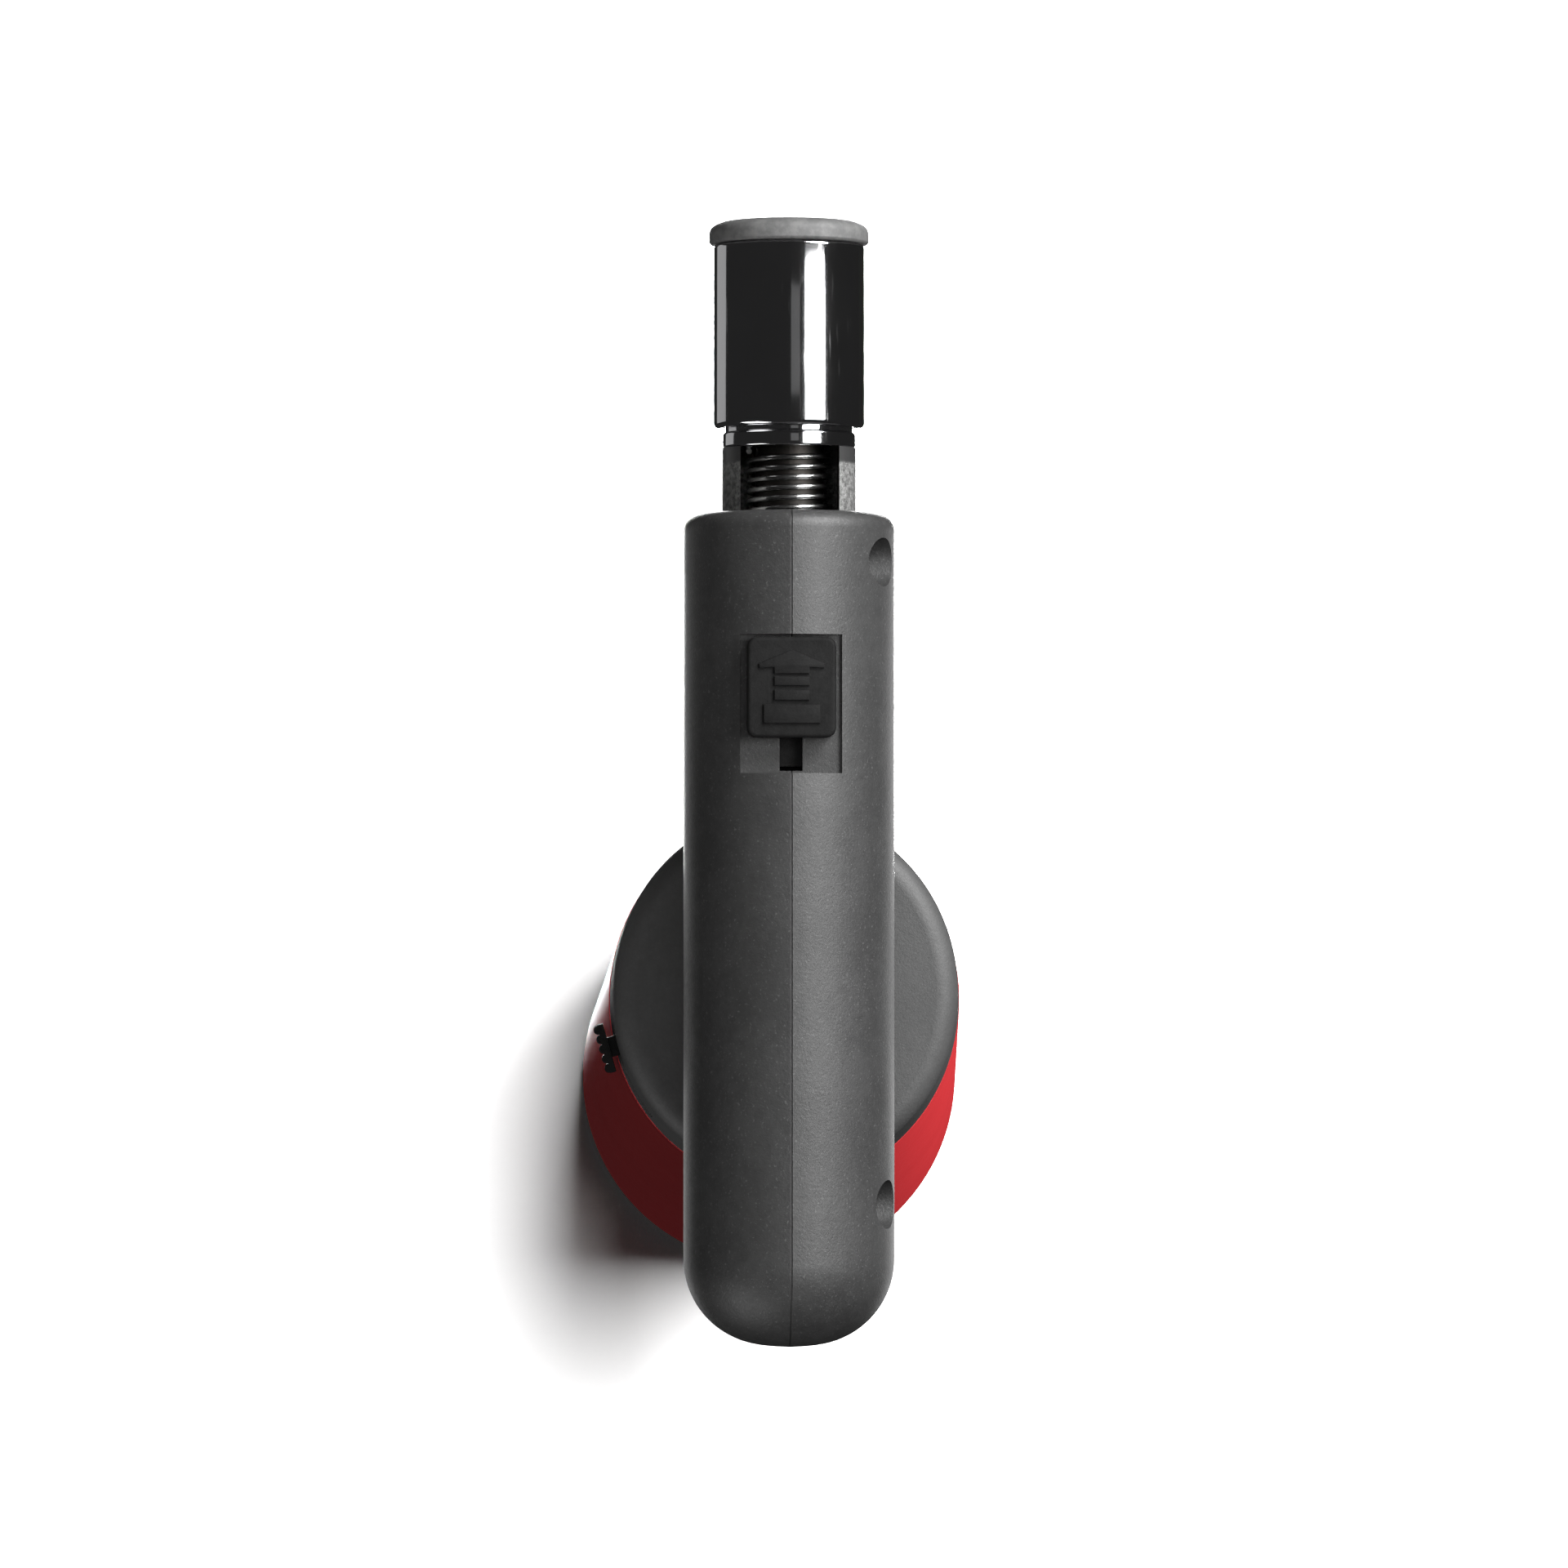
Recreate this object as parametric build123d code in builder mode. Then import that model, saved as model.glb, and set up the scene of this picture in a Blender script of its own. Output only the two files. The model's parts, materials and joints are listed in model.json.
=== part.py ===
from build123d import *
from math import acos, cos, degrees, radians, sin, sqrt
import os

# Table-top butane torch: a long burner head on a raked oval handle that holds the fuel tank.
# +X is the way the flame leaves, +Z is up, and the origin is the centre of the base's underside.
# Lengths are millimetres and angles are degrees.

os.makedirs("parts", exist_ok=True)

# Fits
running_gap = 0.06  # a shaft in its bore, on the radius
seat_gap = 0.05  # pieces that are pushed or glued together
body_gap = 0.3  # pieces that move past each other

# Handle: an oval that leans towards the nozzle and tapers upwards
handle_lean = 0.129  # how far the centre line moves along X for each millimetre of height
handle_top = 112.0
foot_radii = (28.7, 28.3)  # semi-axes along X and Y at the shell's lower edge
neck_radii = (25.4, 23.9)  # the same at the shell's upper edge
shell_wall = 1.0

# Base
base_thickness = 4.0
base_lip = 5.0  # height of the shell's lower edge
base_step = 0.8  # how far the base stands back from the shell
base_rim = 4.0
tank_floor_z = 7.5
foot_ring_depth = 1.2
foot_ring_width = 4.0
foot_ring_inset = 4.2

# Fuel tank
tank_gap = 0.3
tank_wall = 2.5
tank_head_room = 7.0  # from the tank's open top to the shell's upper edge
lid_thickness = 3.5
lid_plug = 4.0
seal_thickness = 1.0
dip_tube_r = 1.5
dip_tube_bore = 0.9
dip_tube_foot = 16.0

# Refill valve in the middle of the base
refill_socket_r = 4.0
refill_flange_r = 6.8
refill_flange = 1.5
refill_barrel_r = 4.5
refill_height = 10.5
refill_stem_r = 1.2
refill_piston_r = 2.3
refill_wire = 0.4
refill_tip_gap = 0.15  # the stem's tip stands this far above the socket

# Collar over the tank
collar_height = 12.0
collar_step = 0.1  # how far the collar stands back from the shell
collar_taper = 0.65
collar_round = 3.0
collar_wall = 2.0
collar_roof = 2.5
neck_gap = 2.05  # from the collar's roof to the lowest line of the head
saddle_length = 40.0
saddle_half_width = 10.5
saddle_height = 7.0
saddle_round = 8.0

# Head housing: a pointed arch over a round belly, split down its middle
head_front = 79.4
head_length = 109.8
head_margin = 3.9  # how far the head's side stands out beyond the burner tube
arch_offset = 1.8  # how far each arch's centre lies beyond the middle
head_wall = 2.0
front_round = 2.2
rear_round = 11.34
front_screw_inset = 6.6
front_screw_rise = 7.0
rear_screw_inset = 18.8
rear_screw_rise = 5.7
low_front_screw_inset = 22.4
low_rear_screw_inset = 16.4
low_screw_drop = 7.0
screw_recess_r = 3.2
screw_recess_floor = 7.0  # distance of the recess floor from the split
screw_recess_wall = 1.2
screw_boss_r = 2.8
screw_head_r = 2.6
screw_head = 1.9
screw_r = 1.3
screw_reach = 6.0  # how far a housing screw goes beyond the split
mount_screw_reach_x = 16.0  # from the valve to each mount screw, along X
mount_screw_reach_y = 6.2  # and along Y
mount_screw_reach = 5.5
mount_boss_r = 2.6
mount_boss_rise = 8.5  # above the head's lowest line

# Burner
burner_length = 27.3
lip_length = 3.0
lip_step = 0.5  # how far the lip stands out from the burner tube
lip_round = 1.2
mouth_r = 8.2
lip_spigot = 3.5
burner_r = 10.05
burner_wall = 0.7
burner_end_wall = 1.2
yoke_reach = 8.7  # from the head's front to the neck ring
groove_length = 0.6
neck_ring_length = 2.0
neck_step = 1.2  # how far the neck ring stands back from the burner tube
groove_depth = 0.3
yoke_slot_half = 6.5
yoke_gap = 0.33
yoke_flange = 2.0
yoke_flange_rim = 1.0
yoke_flange_top = 2.0
yoke_ring_wall = 0.95  # also the wall of the trough under the spring
mixing_r = 4.5
mixing_rear_r = 3.9
mixing_bore = 3.2
mixing_reach = 5.3  # how far the mixing tube goes into the burner
mixing_step = 0.4  # inside the head's front face
air_port_inset = 8.0
air_port_r = 1.3
spring_stop_inset = 1.7
spring_stop = 1.2
spring_stop_r = 5.6
burner_spring_r = 5.3  # mean radius
burner_wire = 0.75
burner_pitch = 1.33
holder_inset = 7.3
holder_thickness = 2.0
holder_hub_r = 5.3
holder_hub_inset = 1.3
flame_port_r = 0.9
pilot_ring_r = 2.6
pilot_port_r = 0.7
tube_rib_inset = 15.4
rib = 1.6
tube_rib_half = 4.5

# Gas jet and pipe
jet_gap = 0.4  # between the carriage's foot and the jet
jet_length = 5.1
jet_spigot = 3.0
jet_orifice = 0.4
pipe_r = 0.9
pipe_bore = 0.45
pipe_inset = 2.3  # from the jet's back
pipe_entry = 2.4
pipe_bend = 4.0
pipe_floor_gap = 0.25

# Spark: a wire held in a ceramic sleeve, fed by the piezo unit
electrode_r = 0.5
electrode_reach = 12.3
electrode_hook = 3.2
sleeve_r = 1.4
sleeve_reach = 10.3
lead_r = 0.8
piezo_rear = 6.0
piezo_length = 30.0
piezo_size = 8.0
piezo_rise = 4.0  # the piezo unit's centre above the head's axis
piezo_stop = 1.75
piezo_bore_spare = 0.8
plunger_r = 2.0
plunger_depth = 16.0
plunger_head_r = 3.6
plunger_head = 1.8
piezo_spring_gap = 8.1  # between the piezo unit and the plunger's head
piezo_spring_r = 2.9
piezo_wire = 0.5
piezo_rib_places = (22.0, 31.0)
piezo_rib_rise = 2.5
rib_notch_half = 1.6

# Ignition slide in its pocket on top of the head
slide_travel = 4.2
pocket_margin = 0.4
pocket_side_gap = 0.85
pocket_depth = 2.9  # below the crest
pocket_floor = 1.5
button_front = 62.7
button_rear = 49.6
button_half = 5.8
button_proud = 1.4  # above the crest
button_corner = 1.3
button_edge = 0.6
button_float = 0.15
stem_length = 7.6
stem_half = 1.4
slot_half = 1.5
carriage_inset = 2.7  # behind the button's front
carriage_half = 5.6
carriage_plate = 1.6
foot_length = 2.6
foot_half = 3.5
link_inner_y = 4.9
link_outer_y = 7.3
link_half_height = 1.5
link_rise = 7.0  # the link bar's centre above the head's axis

# Main valve on the tank's lid, with its rocker
valve_lead = 0.552  # how far the valve stands in front of the shell's centre at its upper edge
valve_barrel_r = 5.0
valve_flange_r = 7.5
valve_flange = 1.5
valve_seal_thickness = 0.8
valve_seat_r = 4.0
valve_top_r = 3.5
valve_barrel = 9.5
valve_hole_r = 4.6
valve_stem_r = 1.5
valve_piston_r = 2.4
valve_piston = 1.5
valve_wire = 0.4
valve_spring_length = 5.5
stem_flange_r = 3.2
stem_flange = 1.2
stem_knob = 0.8
rocker_x = 9.0
rocker_rise = 5.3  # the rocker pin above the head's inner floor
rocker_hub_r = 2.2
rocker_pin_r = 1.0
rocker_fork_half = 1.0  # half the fork's thickness
rocker_fork_slot = 1.9
rocker_fork_outer = 4.0
rocker_arm_half = 1.2
rocker_arm_inner_y = 4.7
post_wall = 2.0
post_half = 2.6

# Flame adjuster
lever_angle = 106.0  # about the valve, from +X
lever_swing = 22.0
lever_slot_margin = 4.0
lever_ring_r = 7.0
lever_thickness = 2.4
lever_rise = 1.8  # above the collar's lower edge
lever_half_width = 1.35
thumb_inner_r = 24.8
thumb_thickness = 0.8
thumb_length = 6.7
thumb_height = 5.0
thumb_ridges = 5
ridge_r = 0.6
clip_thickness = 0.8
clip_r = 5.6

# Places that follow from the sizes above
collar_top = handle_top + collar_height
valve_x = handle_lean * handle_top + valve_lead
head_half_width = burner_r + head_margin
head_z = collar_top + neck_gap + head_half_width
head_rear = head_front - head_length
head_bottom = head_z - head_half_width
head_floor = head_bottom + head_wall
arch_r = head_half_width + arch_offset
crest_z = head_z + sqrt(arch_r**2 - arch_offset**2)
pocket_z = crest_z - pocket_depth
yoke_r = burner_r - neck_step
front_hole_r = yoke_r + yoke_gap
electrode_drop = yoke_r - yoke_ring_wall - lead_r - body_gap  # below the head's axis
flame_ring_r = electrode_drop
head_inner_front = head_front - head_wall
neck_ring_back = head_front + yoke_reach
neck_ring_front = neck_ring_back + neck_ring_length
burner_back = neck_ring_front + groove_length
burner_front = burner_back + burner_length
spring_stop_x = head_inner_front - spring_stop_inset
tube_rib_x = head_front - tube_rib_inset
sleeve_front = burner_back + sleeve_reach
holder_x = burner_back + holder_inset
housing_screw_places = (
    (head_front - front_screw_inset, front_screw_rise),
    (head_rear + rear_screw_inset, rear_screw_rise),
    (head_front - low_front_screw_inset, -low_screw_drop),
    (head_rear + low_rear_screw_inset, -low_screw_drop),
)
mount_screw_places = [
    (valve_x + x, y)
    for x in (-mount_screw_reach_x, mount_screw_reach_x)
    for y in (mount_screw_reach_y, -mount_screw_reach_y)
]
head_axis = Axis((0, 0, head_z), (1, 0, 0))
rocker_z = head_floor + rocker_rise
link_z = head_z + link_rise
piezo_z = head_z + piezo_rise
piezo_front = piezo_rear + piezo_length
plunger_face = piezo_front + piezo_spring_gap
foot_x = plunger_face + plunger_head
jet_back = foot_x + foot_length + jet_gap
mixing_rear = jet_back + jet_length
pipe_x = jet_back + pipe_inset
pocket_front = button_front + pocket_margin
pocket_rear = button_rear - slide_travel - pocket_margin
pocket_half = button_half + pocket_side_gap
tank_top = handle_top - tank_head_room
lid_z = tank_top + seal_thickness
lid_top = lid_z + lid_thickness
valve_flange_z = lid_top + valve_seal_thickness
valve_seat_z = valve_flange_z + valve_flange
stem_flange_z = rocker_z + rocker_fork_half + body_gap
valve_top_z = rocker_z - rocker_fork_half - 2 * body_gap
pipe_z = head_floor + pipe_floor_gap + pipe_r
lever_z = handle_top + lever_rise
clip_z = lever_z + lever_thickness + body_gap
refill_body_z = tank_floor_z - refill_flange
refill_top_z = refill_body_z + refill_height


def handle_radii(height):
    """Semi-axes of the shell's outside at this height."""
    share = (height - base_lip) / (handle_top - base_lip)
    return tuple(low + (high - low) * share for low, high in zip(foot_radii, neck_radii))


def leaning_oval(low, high, low_radii, high_radii, inset):
    """An oval block between two heights, centred on the handle's leaning centre line."""
    with BuildPart(mode=Mode.PRIVATE) as block:
        for height, radii in ((low, low_radii), (high, high_radii)):
            with BuildSketch(Plane.XY.offset(height)):
                with Locations((handle_lean * height, 0)):
                    Ellipse(radii[0] - inset, radii[1] - inset)
        loft()
    return block.part


def handle_block(low, high, inset):
    """The part of the handle between two heights, drawn in from the shell's outside."""
    return leaning_oval(low, high, handle_radii(low), handle_radii(high), inset)


def head_block(rear, front, inset, front_fillet):
    """The head's outside between two stations, or its hollow when drawn in by the wall."""
    half_width = head_half_width - inset
    radius = half_width + arch_offset
    arch_turn = degrees(acos(arch_offset / radius))
    with BuildPart(mode=Mode.PRIVATE) as block:
        with BuildSketch(Plane.YZ.offset(rear)):
            with BuildLine():
                arch = CenterArc((-arch_offset, head_z), radius, 0, arch_turn)
                belly = CenterArc((0, head_z), half_width, -90, 90)
                Line(arch @ 1, belly @ 0)
            make_face()
        extrude(amount=front - rear)
        rear_edges = block.faces().sort_by(Axis.X)[0].edges().filter_by(GeomType.CIRCLE)
        fillet(rear_edges, rear_round - inset)
        if front_fillet > 0:
            front_edges = block.faces().sort_by(Axis.X)[-1].edges().filter_by(GeomType.CIRCLE)
            fillet(front_edges, front_fillet)
        mirror(about=Plane.XZ)
    return block.part


def turned_upright(x, profile):
    """A turned piece on the upright line at x, from (radius, height) points."""
    with BuildPart(mode=Mode.PRIVATE) as piece:
        with BuildSketch(Plane.XZ):
            with BuildLine():
                Polyline(*[(x + radius, height) for radius, height in profile], close=True)
            make_face()
        revolve(axis=Axis((x, 0, 0), (0, 0, 1)))
    return piece.part


def turned_on_head(profile):
    """A turned piece on the head's axis, from (station, radius) points."""
    with BuildPart(mode=Mode.PRIVATE) as piece:
        with BuildSketch(Plane.XZ):
            with BuildLine():
                Polyline(*[(station, head_z + radius) for station, radius in profile], close=True)
            make_face()
        revolve(axis=head_axis)
    return piece.part


def box_between(low, high):
    """A block from its lowest corner to its highest."""
    size = [b - a for a, b in zip(low, high)]
    middle = [(a + b) / 2 for a, b in zip(low, high)]
    with BuildPart(mode=Mode.PRIVATE) as block:
        with Locations(tuple(middle)):
            Box(*size)
    return block.part


def cross_rods(places, radius, start, end):
    """Round rods across the head, from one distance left of the split to another."""
    with BuildPart(mode=Mode.PRIVATE) as rods:
        with BuildSketch(Plane.XZ.offset(-start)):
            with Locations(*[(x, head_z + rise) for x, rise in places]):
                Circle(radius)
        extrude(amount=start - end)
    return rods.part


def upright_rods(places, radius, low, high):
    """Round rods between two heights."""
    with BuildPart(mode=Mode.PRIVATE) as rods:
        with BuildSketch(Plane.XY.offset(low)):
            with Locations(*places):
                Circle(radius)
        extrude(amount=high - low)
    return rods.part


def coil_spring(start, direction, length, mean_r, wire, pitch):
    """A coil spring from one seat to the other."""
    centre = Vector(*start) + Vector(*direction) * (wire / 2)
    with BuildPart(mode=Mode.PRIVATE) as spring:
        with BuildLine() as path:
            Helix(pitch, length - wire, mean_r, center=centre, direction=direction)
        with BuildSketch(Plane(origin=path.line @ 0, z_dir=path.line % 0)):
            Circle(wire / 2)
        sweep(path=path.line, is_frenet=True)
    return spring.part


# ---------------------------------------------------------------- base and handle
base_plate = handle_block(0, base_lip, base_step)
base_ring = handle_block(base_lip, tank_floor_z, shell_wall + seat_gap)
base_pocket = handle_block(base_thickness, tank_floor_z, shell_wall + base_rim)
ring_groove = handle_block(0, foot_ring_depth, foot_ring_inset)
ring_core = handle_block(0, foot_ring_depth, foot_ring_inset + foot_ring_width)

with BuildPart() as foot_ring:
    add(ring_groove)
    add(ring_core, mode=Mode.SUBTRACT)
foot_ring.part.label = "foot_ring"
export_step(foot_ring.part, "parts/foot_ring.step")

with BuildPart() as base_cap:
    add(base_plate)
    add(base_ring)
    add(base_pocket, mode=Mode.SUBTRACT)
    add(foot_ring.part, mode=Mode.SUBTRACT)
    with Locations((0, 0, 0)):
        Hole(refill_socket_r)
base_cap.part.label = "base_cap"
export_step(base_cap.part, "parts/base_cap.step")

shell_outside = handle_block(base_lip, handle_top, 0)
shell_inside = handle_block(base_lip, handle_top, shell_wall)
with BuildPart() as tank_shell:
    add(shell_outside)
    add(shell_inside, mode=Mode.SUBTRACT)
tank_shell.part.label = "tank_shell"
export_step(tank_shell.part, "parts/tank_shell.step")

# ---------------------------------------------------------------- fuel tank
tank_inset = shell_wall + tank_gap
tank_outside = handle_block(tank_floor_z, tank_top, tank_inset)
tank_inside = handle_block(tank_floor_z + tank_wall, tank_top, tank_inset + tank_wall)
seal_seat_r = refill_barrel_r + 1.4
with BuildPart() as fuel_tank:
    add(tank_outside)
    add(tank_inside, mode=Mode.SUBTRACT)
    with Locations((0, 0, tank_floor_z)):
        Cylinder(
            refill_barrel_r + seat_gap,
            tank_wall,
            align=(Align.CENTER, Align.CENTER, Align.MIN),
            mode=Mode.SUBTRACT,
        )
        Cylinder(
            seal_seat_r,
            seal_thickness,
            align=(Align.CENTER, Align.CENTER, Align.MIN),
            mode=Mode.SUBTRACT,
        )
fuel_tank.part.label = "fuel_tank"
export_step(fuel_tank.part, "parts/fuel_tank.step")

seal_outside = handle_block(tank_top, lid_z, tank_inset)
seal_inside = handle_block(tank_top, lid_z, tank_inset + tank_wall)
with BuildPart() as tank_seal:
    add(seal_outside)
    add(seal_inside, mode=Mode.SUBTRACT)
tank_seal.part.label = "tank_seal"
export_step(tank_seal.part, "parts/tank_seal.step")

lid_plate = handle_block(lid_z, lid_top, tank_inset)
lid_core = handle_block(tank_top - lid_plug, lid_z, tank_inset + tank_wall + seat_gap)
with BuildPart() as tank_lid:
    add(lid_plate)
    add(lid_core)
    with Locations((valve_x, 0, lid_top)):
        Hole(valve_barrel_r + seat_gap)
tank_lid.part.label = "tank_lid"
export_step(tank_lid.part, "parts/tank_lid.step")

# ---------------------------------------------------------------- refill valve
refill_chamber_r = refill_piston_r + running_gap
refill_piston_z = refill_body_z + 3.5
refill_piston = 1.4
refill_roof_z = refill_top_z - 1.0
refill_outline = turned_upright(
    0,
    [
        (0, refill_body_z),
        (refill_flange_r, refill_body_z),
        (refill_flange_r, tank_floor_z),
        (refill_barrel_r, tank_floor_z),
        (refill_barrel_r, refill_top_z),
        (0, refill_top_z),
    ],
)
with BuildPart() as refill_valve_body:
    add(refill_outline)
    add(
        upright_rods([(0, 0)], refill_stem_r + running_gap, refill_body_z, refill_roof_z),
        mode=Mode.SUBTRACT,
    )
    add(
        upright_rods([(0, 0)], refill_chamber_r, refill_piston_z - seat_gap, refill_roof_z),
        mode=Mode.SUBTRACT,
    )
    add(upright_rods([(0, 0)], dip_tube_bore, refill_roof_z, refill_top_z), mode=Mode.SUBTRACT)
refill_valve_body.part.label = "refill_valve_body"
export_step(refill_valve_body.part, "parts/refill_valve_body.step")

refill_tip_z = base_thickness + refill_tip_gap
with BuildPart() as refill_stem:
    add(upright_rods([(0, 0)], refill_stem_r, refill_tip_z, refill_piston_z + refill_piston))
    add(upright_rods([(0, 0)], refill_piston_r, refill_piston_z, refill_piston_z + refill_piston))
    top_edges = refill_stem.edges().group_by(Axis.Z)[0]
    fillet(top_edges, refill_stem_r / 3)
refill_stem.part.label = "refill_stem"
export_step(refill_stem.part, "parts/refill_stem.step")

refill_spring_low = refill_piston_z + refill_piston
refill_spring_length = refill_roof_z - refill_spring_low
with BuildPart() as refill_spring:
    add(
        coil_spring(
            (0, 0, refill_spring_low),
            (0, 0, 1),
            refill_spring_length,
            refill_piston_r - refill_wire,
            refill_wire,
            refill_spring_length / 4,
        )
    )
refill_spring.part.label = "refill_spring"
export_step(refill_spring.part, "parts/refill_spring.step")

with BuildPart() as refill_seal:
    with Locations((0, 0, tank_floor_z)):
        Cylinder(
            seal_seat_r - seat_gap,
            seal_thickness - seat_gap,
            align=(Align.CENTER, Align.CENTER, Align.MIN),
        )
        Cylinder(
            refill_barrel_r + seat_gap,
            seal_thickness,
            align=(Align.CENTER, Align.CENTER, Align.MIN),
            mode=Mode.SUBTRACT,
        )
refill_seal.part.label = "refill_seal"
export_step(refill_seal.part, "parts/refill_seal.step")

# ---------------------------------------------------------------- main valve
valve_barrel_z = lid_top - valve_barrel
valve_piston_z = valve_seat_z + 2.0
valve_spring_z = valve_piston_z + valve_piston
valve_chamber_top = valve_spring_z + valve_spring_length
valve_chamber_r = valve_piston_r + running_gap
valve_outline = turned_upright(
    valve_x,
    [
        (0, valve_barrel_z),
        (valve_barrel_r, valve_barrel_z),
        (valve_barrel_r, valve_flange_z),
        (valve_flange_r, valve_flange_z),
        (valve_flange_r, valve_seat_z),
        (valve_seat_r, valve_seat_z),
        (valve_seat_r, collar_top),
        (valve_top_r, collar_top),
        (valve_top_r, valve_top_z),
        (0, valve_top_z),
    ],
)
valve_place = [(valve_x, 0)]
outlet_hole = box_between(
    (valve_x, -pipe_bore, pipe_z - pipe_bore),
    (valve_x + valve_top_r, pipe_bore, pipe_z + pipe_bore),
)
with BuildPart() as valve_body:
    add(valve_outline)
    add(
        upright_rods(valve_place, valve_stem_r + running_gap, valve_piston_z, valve_top_z),
        mode=Mode.SUBTRACT,
    )
    add(
        upright_rods(valve_place, valve_chamber_r, valve_piston_z - seat_gap, valve_chamber_top),
        mode=Mode.SUBTRACT,
    )
    add(
        upright_rods(valve_place, dip_tube_bore, valve_barrel_z, valve_piston_z),
        mode=Mode.SUBTRACT,
    )
    add(outlet_hole, mode=Mode.SUBTRACT)
valve_body.part.label = "valve_body"
export_step(valve_body.part, "parts/valve_body.step")

stem_top_z = stem_flange_z + stem_flange + stem_knob
with BuildPart() as valve_stem:
    add(upright_rods(valve_place, valve_stem_r, valve_piston_z, stem_top_z))
    add(upright_rods(valve_place, valve_piston_r, valve_piston_z, valve_spring_z))
    add(upright_rods(valve_place, stem_flange_r, stem_flange_z, stem_flange_z + stem_flange))
valve_stem.part.label = "valve_stem"
export_step(valve_stem.part, "parts/valve_stem.step")

with BuildPart() as valve_spring:
    add(
        coil_spring(
            (valve_x, 0, valve_spring_z),
            (0, 0, 1),
            valve_spring_length,
            valve_piston_r - 0.5 * valve_wire,
            valve_wire,
            valve_spring_length / 6,
        )
    )
valve_spring.part.label = "valve_spring"
export_step(valve_spring.part, "parts/valve_spring.step")

with BuildPart() as valve_seal:
    add(upright_rods(valve_place, valve_flange_r, lid_top, valve_flange_z))
    add(
        upright_rods(valve_place, valve_barrel_r + seat_gap, lid_top, valve_flange_z),
        mode=Mode.SUBTRACT,
    )
valve_seal.part.label = "valve_seal"
export_step(valve_seal.part, "parts/valve_seal.step")

with BuildPart() as dip_tube:
    add(upright_rods(valve_place, dip_tube_r, dip_tube_foot, valve_barrel_z))
    add(
        upright_rods(valve_place, dip_tube_bore, dip_tube_foot, valve_barrel_z),
        mode=Mode.SUBTRACT,
    )
dip_tube.part.label = "dip_tube"
export_step(dip_tube.part, "parts/dip_tube.step")

# ---------------------------------------------------------------- flame adjuster
lever_plane = Plane(
    origin=(valve_x, 0, lever_z),
    x_dir=(cos(radians(lever_angle)), sin(radians(lever_angle)), 0),
    z_dir=(0, 0, 1),
)
thumb_plane = lever_plane.offset((lever_thickness - thumb_height) / 2)
ridge_pitch = thumb_length / thumb_ridges
with BuildPart() as adjust_lever:
    with BuildSketch(lever_plane):
        Circle(lever_ring_r)
        with Locations((thumb_inner_r / 2, 0)):
            Rectangle(thumb_inner_r, 2 * lever_half_width)
        Circle(valve_seat_r + running_gap, mode=Mode.SUBTRACT)
    extrude(amount=lever_thickness)
    with BuildSketch(thumb_plane):
        with Locations((thumb_inner_r + thumb_thickness / 2, 0)):
            Rectangle(thumb_thickness, thumb_length)
        with Locations((thumb_inner_r + thumb_thickness, 0)):
            with GridLocations(0, ridge_pitch, 1, thumb_ridges):
                Circle(ridge_r)
    extrude(amount=thumb_height)
adjust_lever.part.label = "adjust_lever"
export_step(adjust_lever.part, "parts/adjust_lever.step")

with BuildPart() as lever_clip:
    add(upright_rods(valve_place, clip_r, clip_z, clip_z + clip_thickness))
    add(
        upright_rods(valve_place, valve_seat_r + seat_gap, clip_z, clip_z + clip_thickness),
        mode=Mode.SUBTRACT,
    )
lever_clip.part.label = "lever_clip"
export_step(lever_clip.part, "parts/lever_clip.step")

# ---------------------------------------------------------------- collar
collar_low_radii = [radius - collar_step for radius in neck_radii]
collar_high_radii = [radius - collar_taper for radius in collar_low_radii]
roof_z = collar_top - collar_roof
roof_share = (roof_z - handle_top) / collar_height
roof_radii = [a + (b - a) * roof_share for a, b in zip(collar_low_radii, collar_high_radii)]
collar_outside = leaning_oval(handle_top, collar_top, collar_low_radii, collar_high_radii, 0)
collar_inside = leaning_oval(handle_top, roof_z, collar_low_radii, roof_radii, collar_wall)
spigot_inset = shell_wall + seat_gap
spigot_outside = handle_block(lid_top, handle_top, spigot_inset)
spigot_inside = handle_block(lid_top, handle_top, spigot_inset + collar_wall)
head_nest = head_block(head_rear, head_front, -seat_gap, 0)
slot_start = lever_angle - lever_slot_margin
slot_turn = lever_swing + 2 * lever_slot_margin
with BuildPart() as collar:
    add(collar_outside)
    fillet(collar.edges().group_by(Axis.Z)[-1], collar_round)
    with BuildSketch(Plane.XY.offset(roof_z)):
        with Locations((valve_x, 0)):
            RectangleRounded(saddle_length, 2 * saddle_half_width, saddle_round)
    extrude(amount=collar_roof + saddle_height)
    add(head_nest, mode=Mode.SUBTRACT)
    add(collar_inside, mode=Mode.SUBTRACT)
    add(spigot_outside)
    add(spigot_inside, mode=Mode.SUBTRACT)
    add(
        upright_rods(valve_place, valve_hole_r, roof_z, head_z),
        mode=Mode.SUBTRACT,
    )
    add(
        upright_rods(mount_screw_places, screw_r + seat_gap, roof_z, head_z),
        mode=Mode.SUBTRACT,
    )
    with BuildSketch(Plane.XY.offset(lever_z - body_gap)):
        with BuildLine():
            arc = CenterArc((valve_x, 0), 2 * thumb_inner_r, slot_start, slot_turn)
            Line(arc @ 0, (valve_x, 0))
            Line((valve_x, 0), arc @ 1)
        make_face()
    extrude(amount=lever_thickness + 2 * body_gap, mode=Mode.SUBTRACT)
collar.part.label = "collar"
export_step(collar.part, "parts/collar.step")

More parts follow.
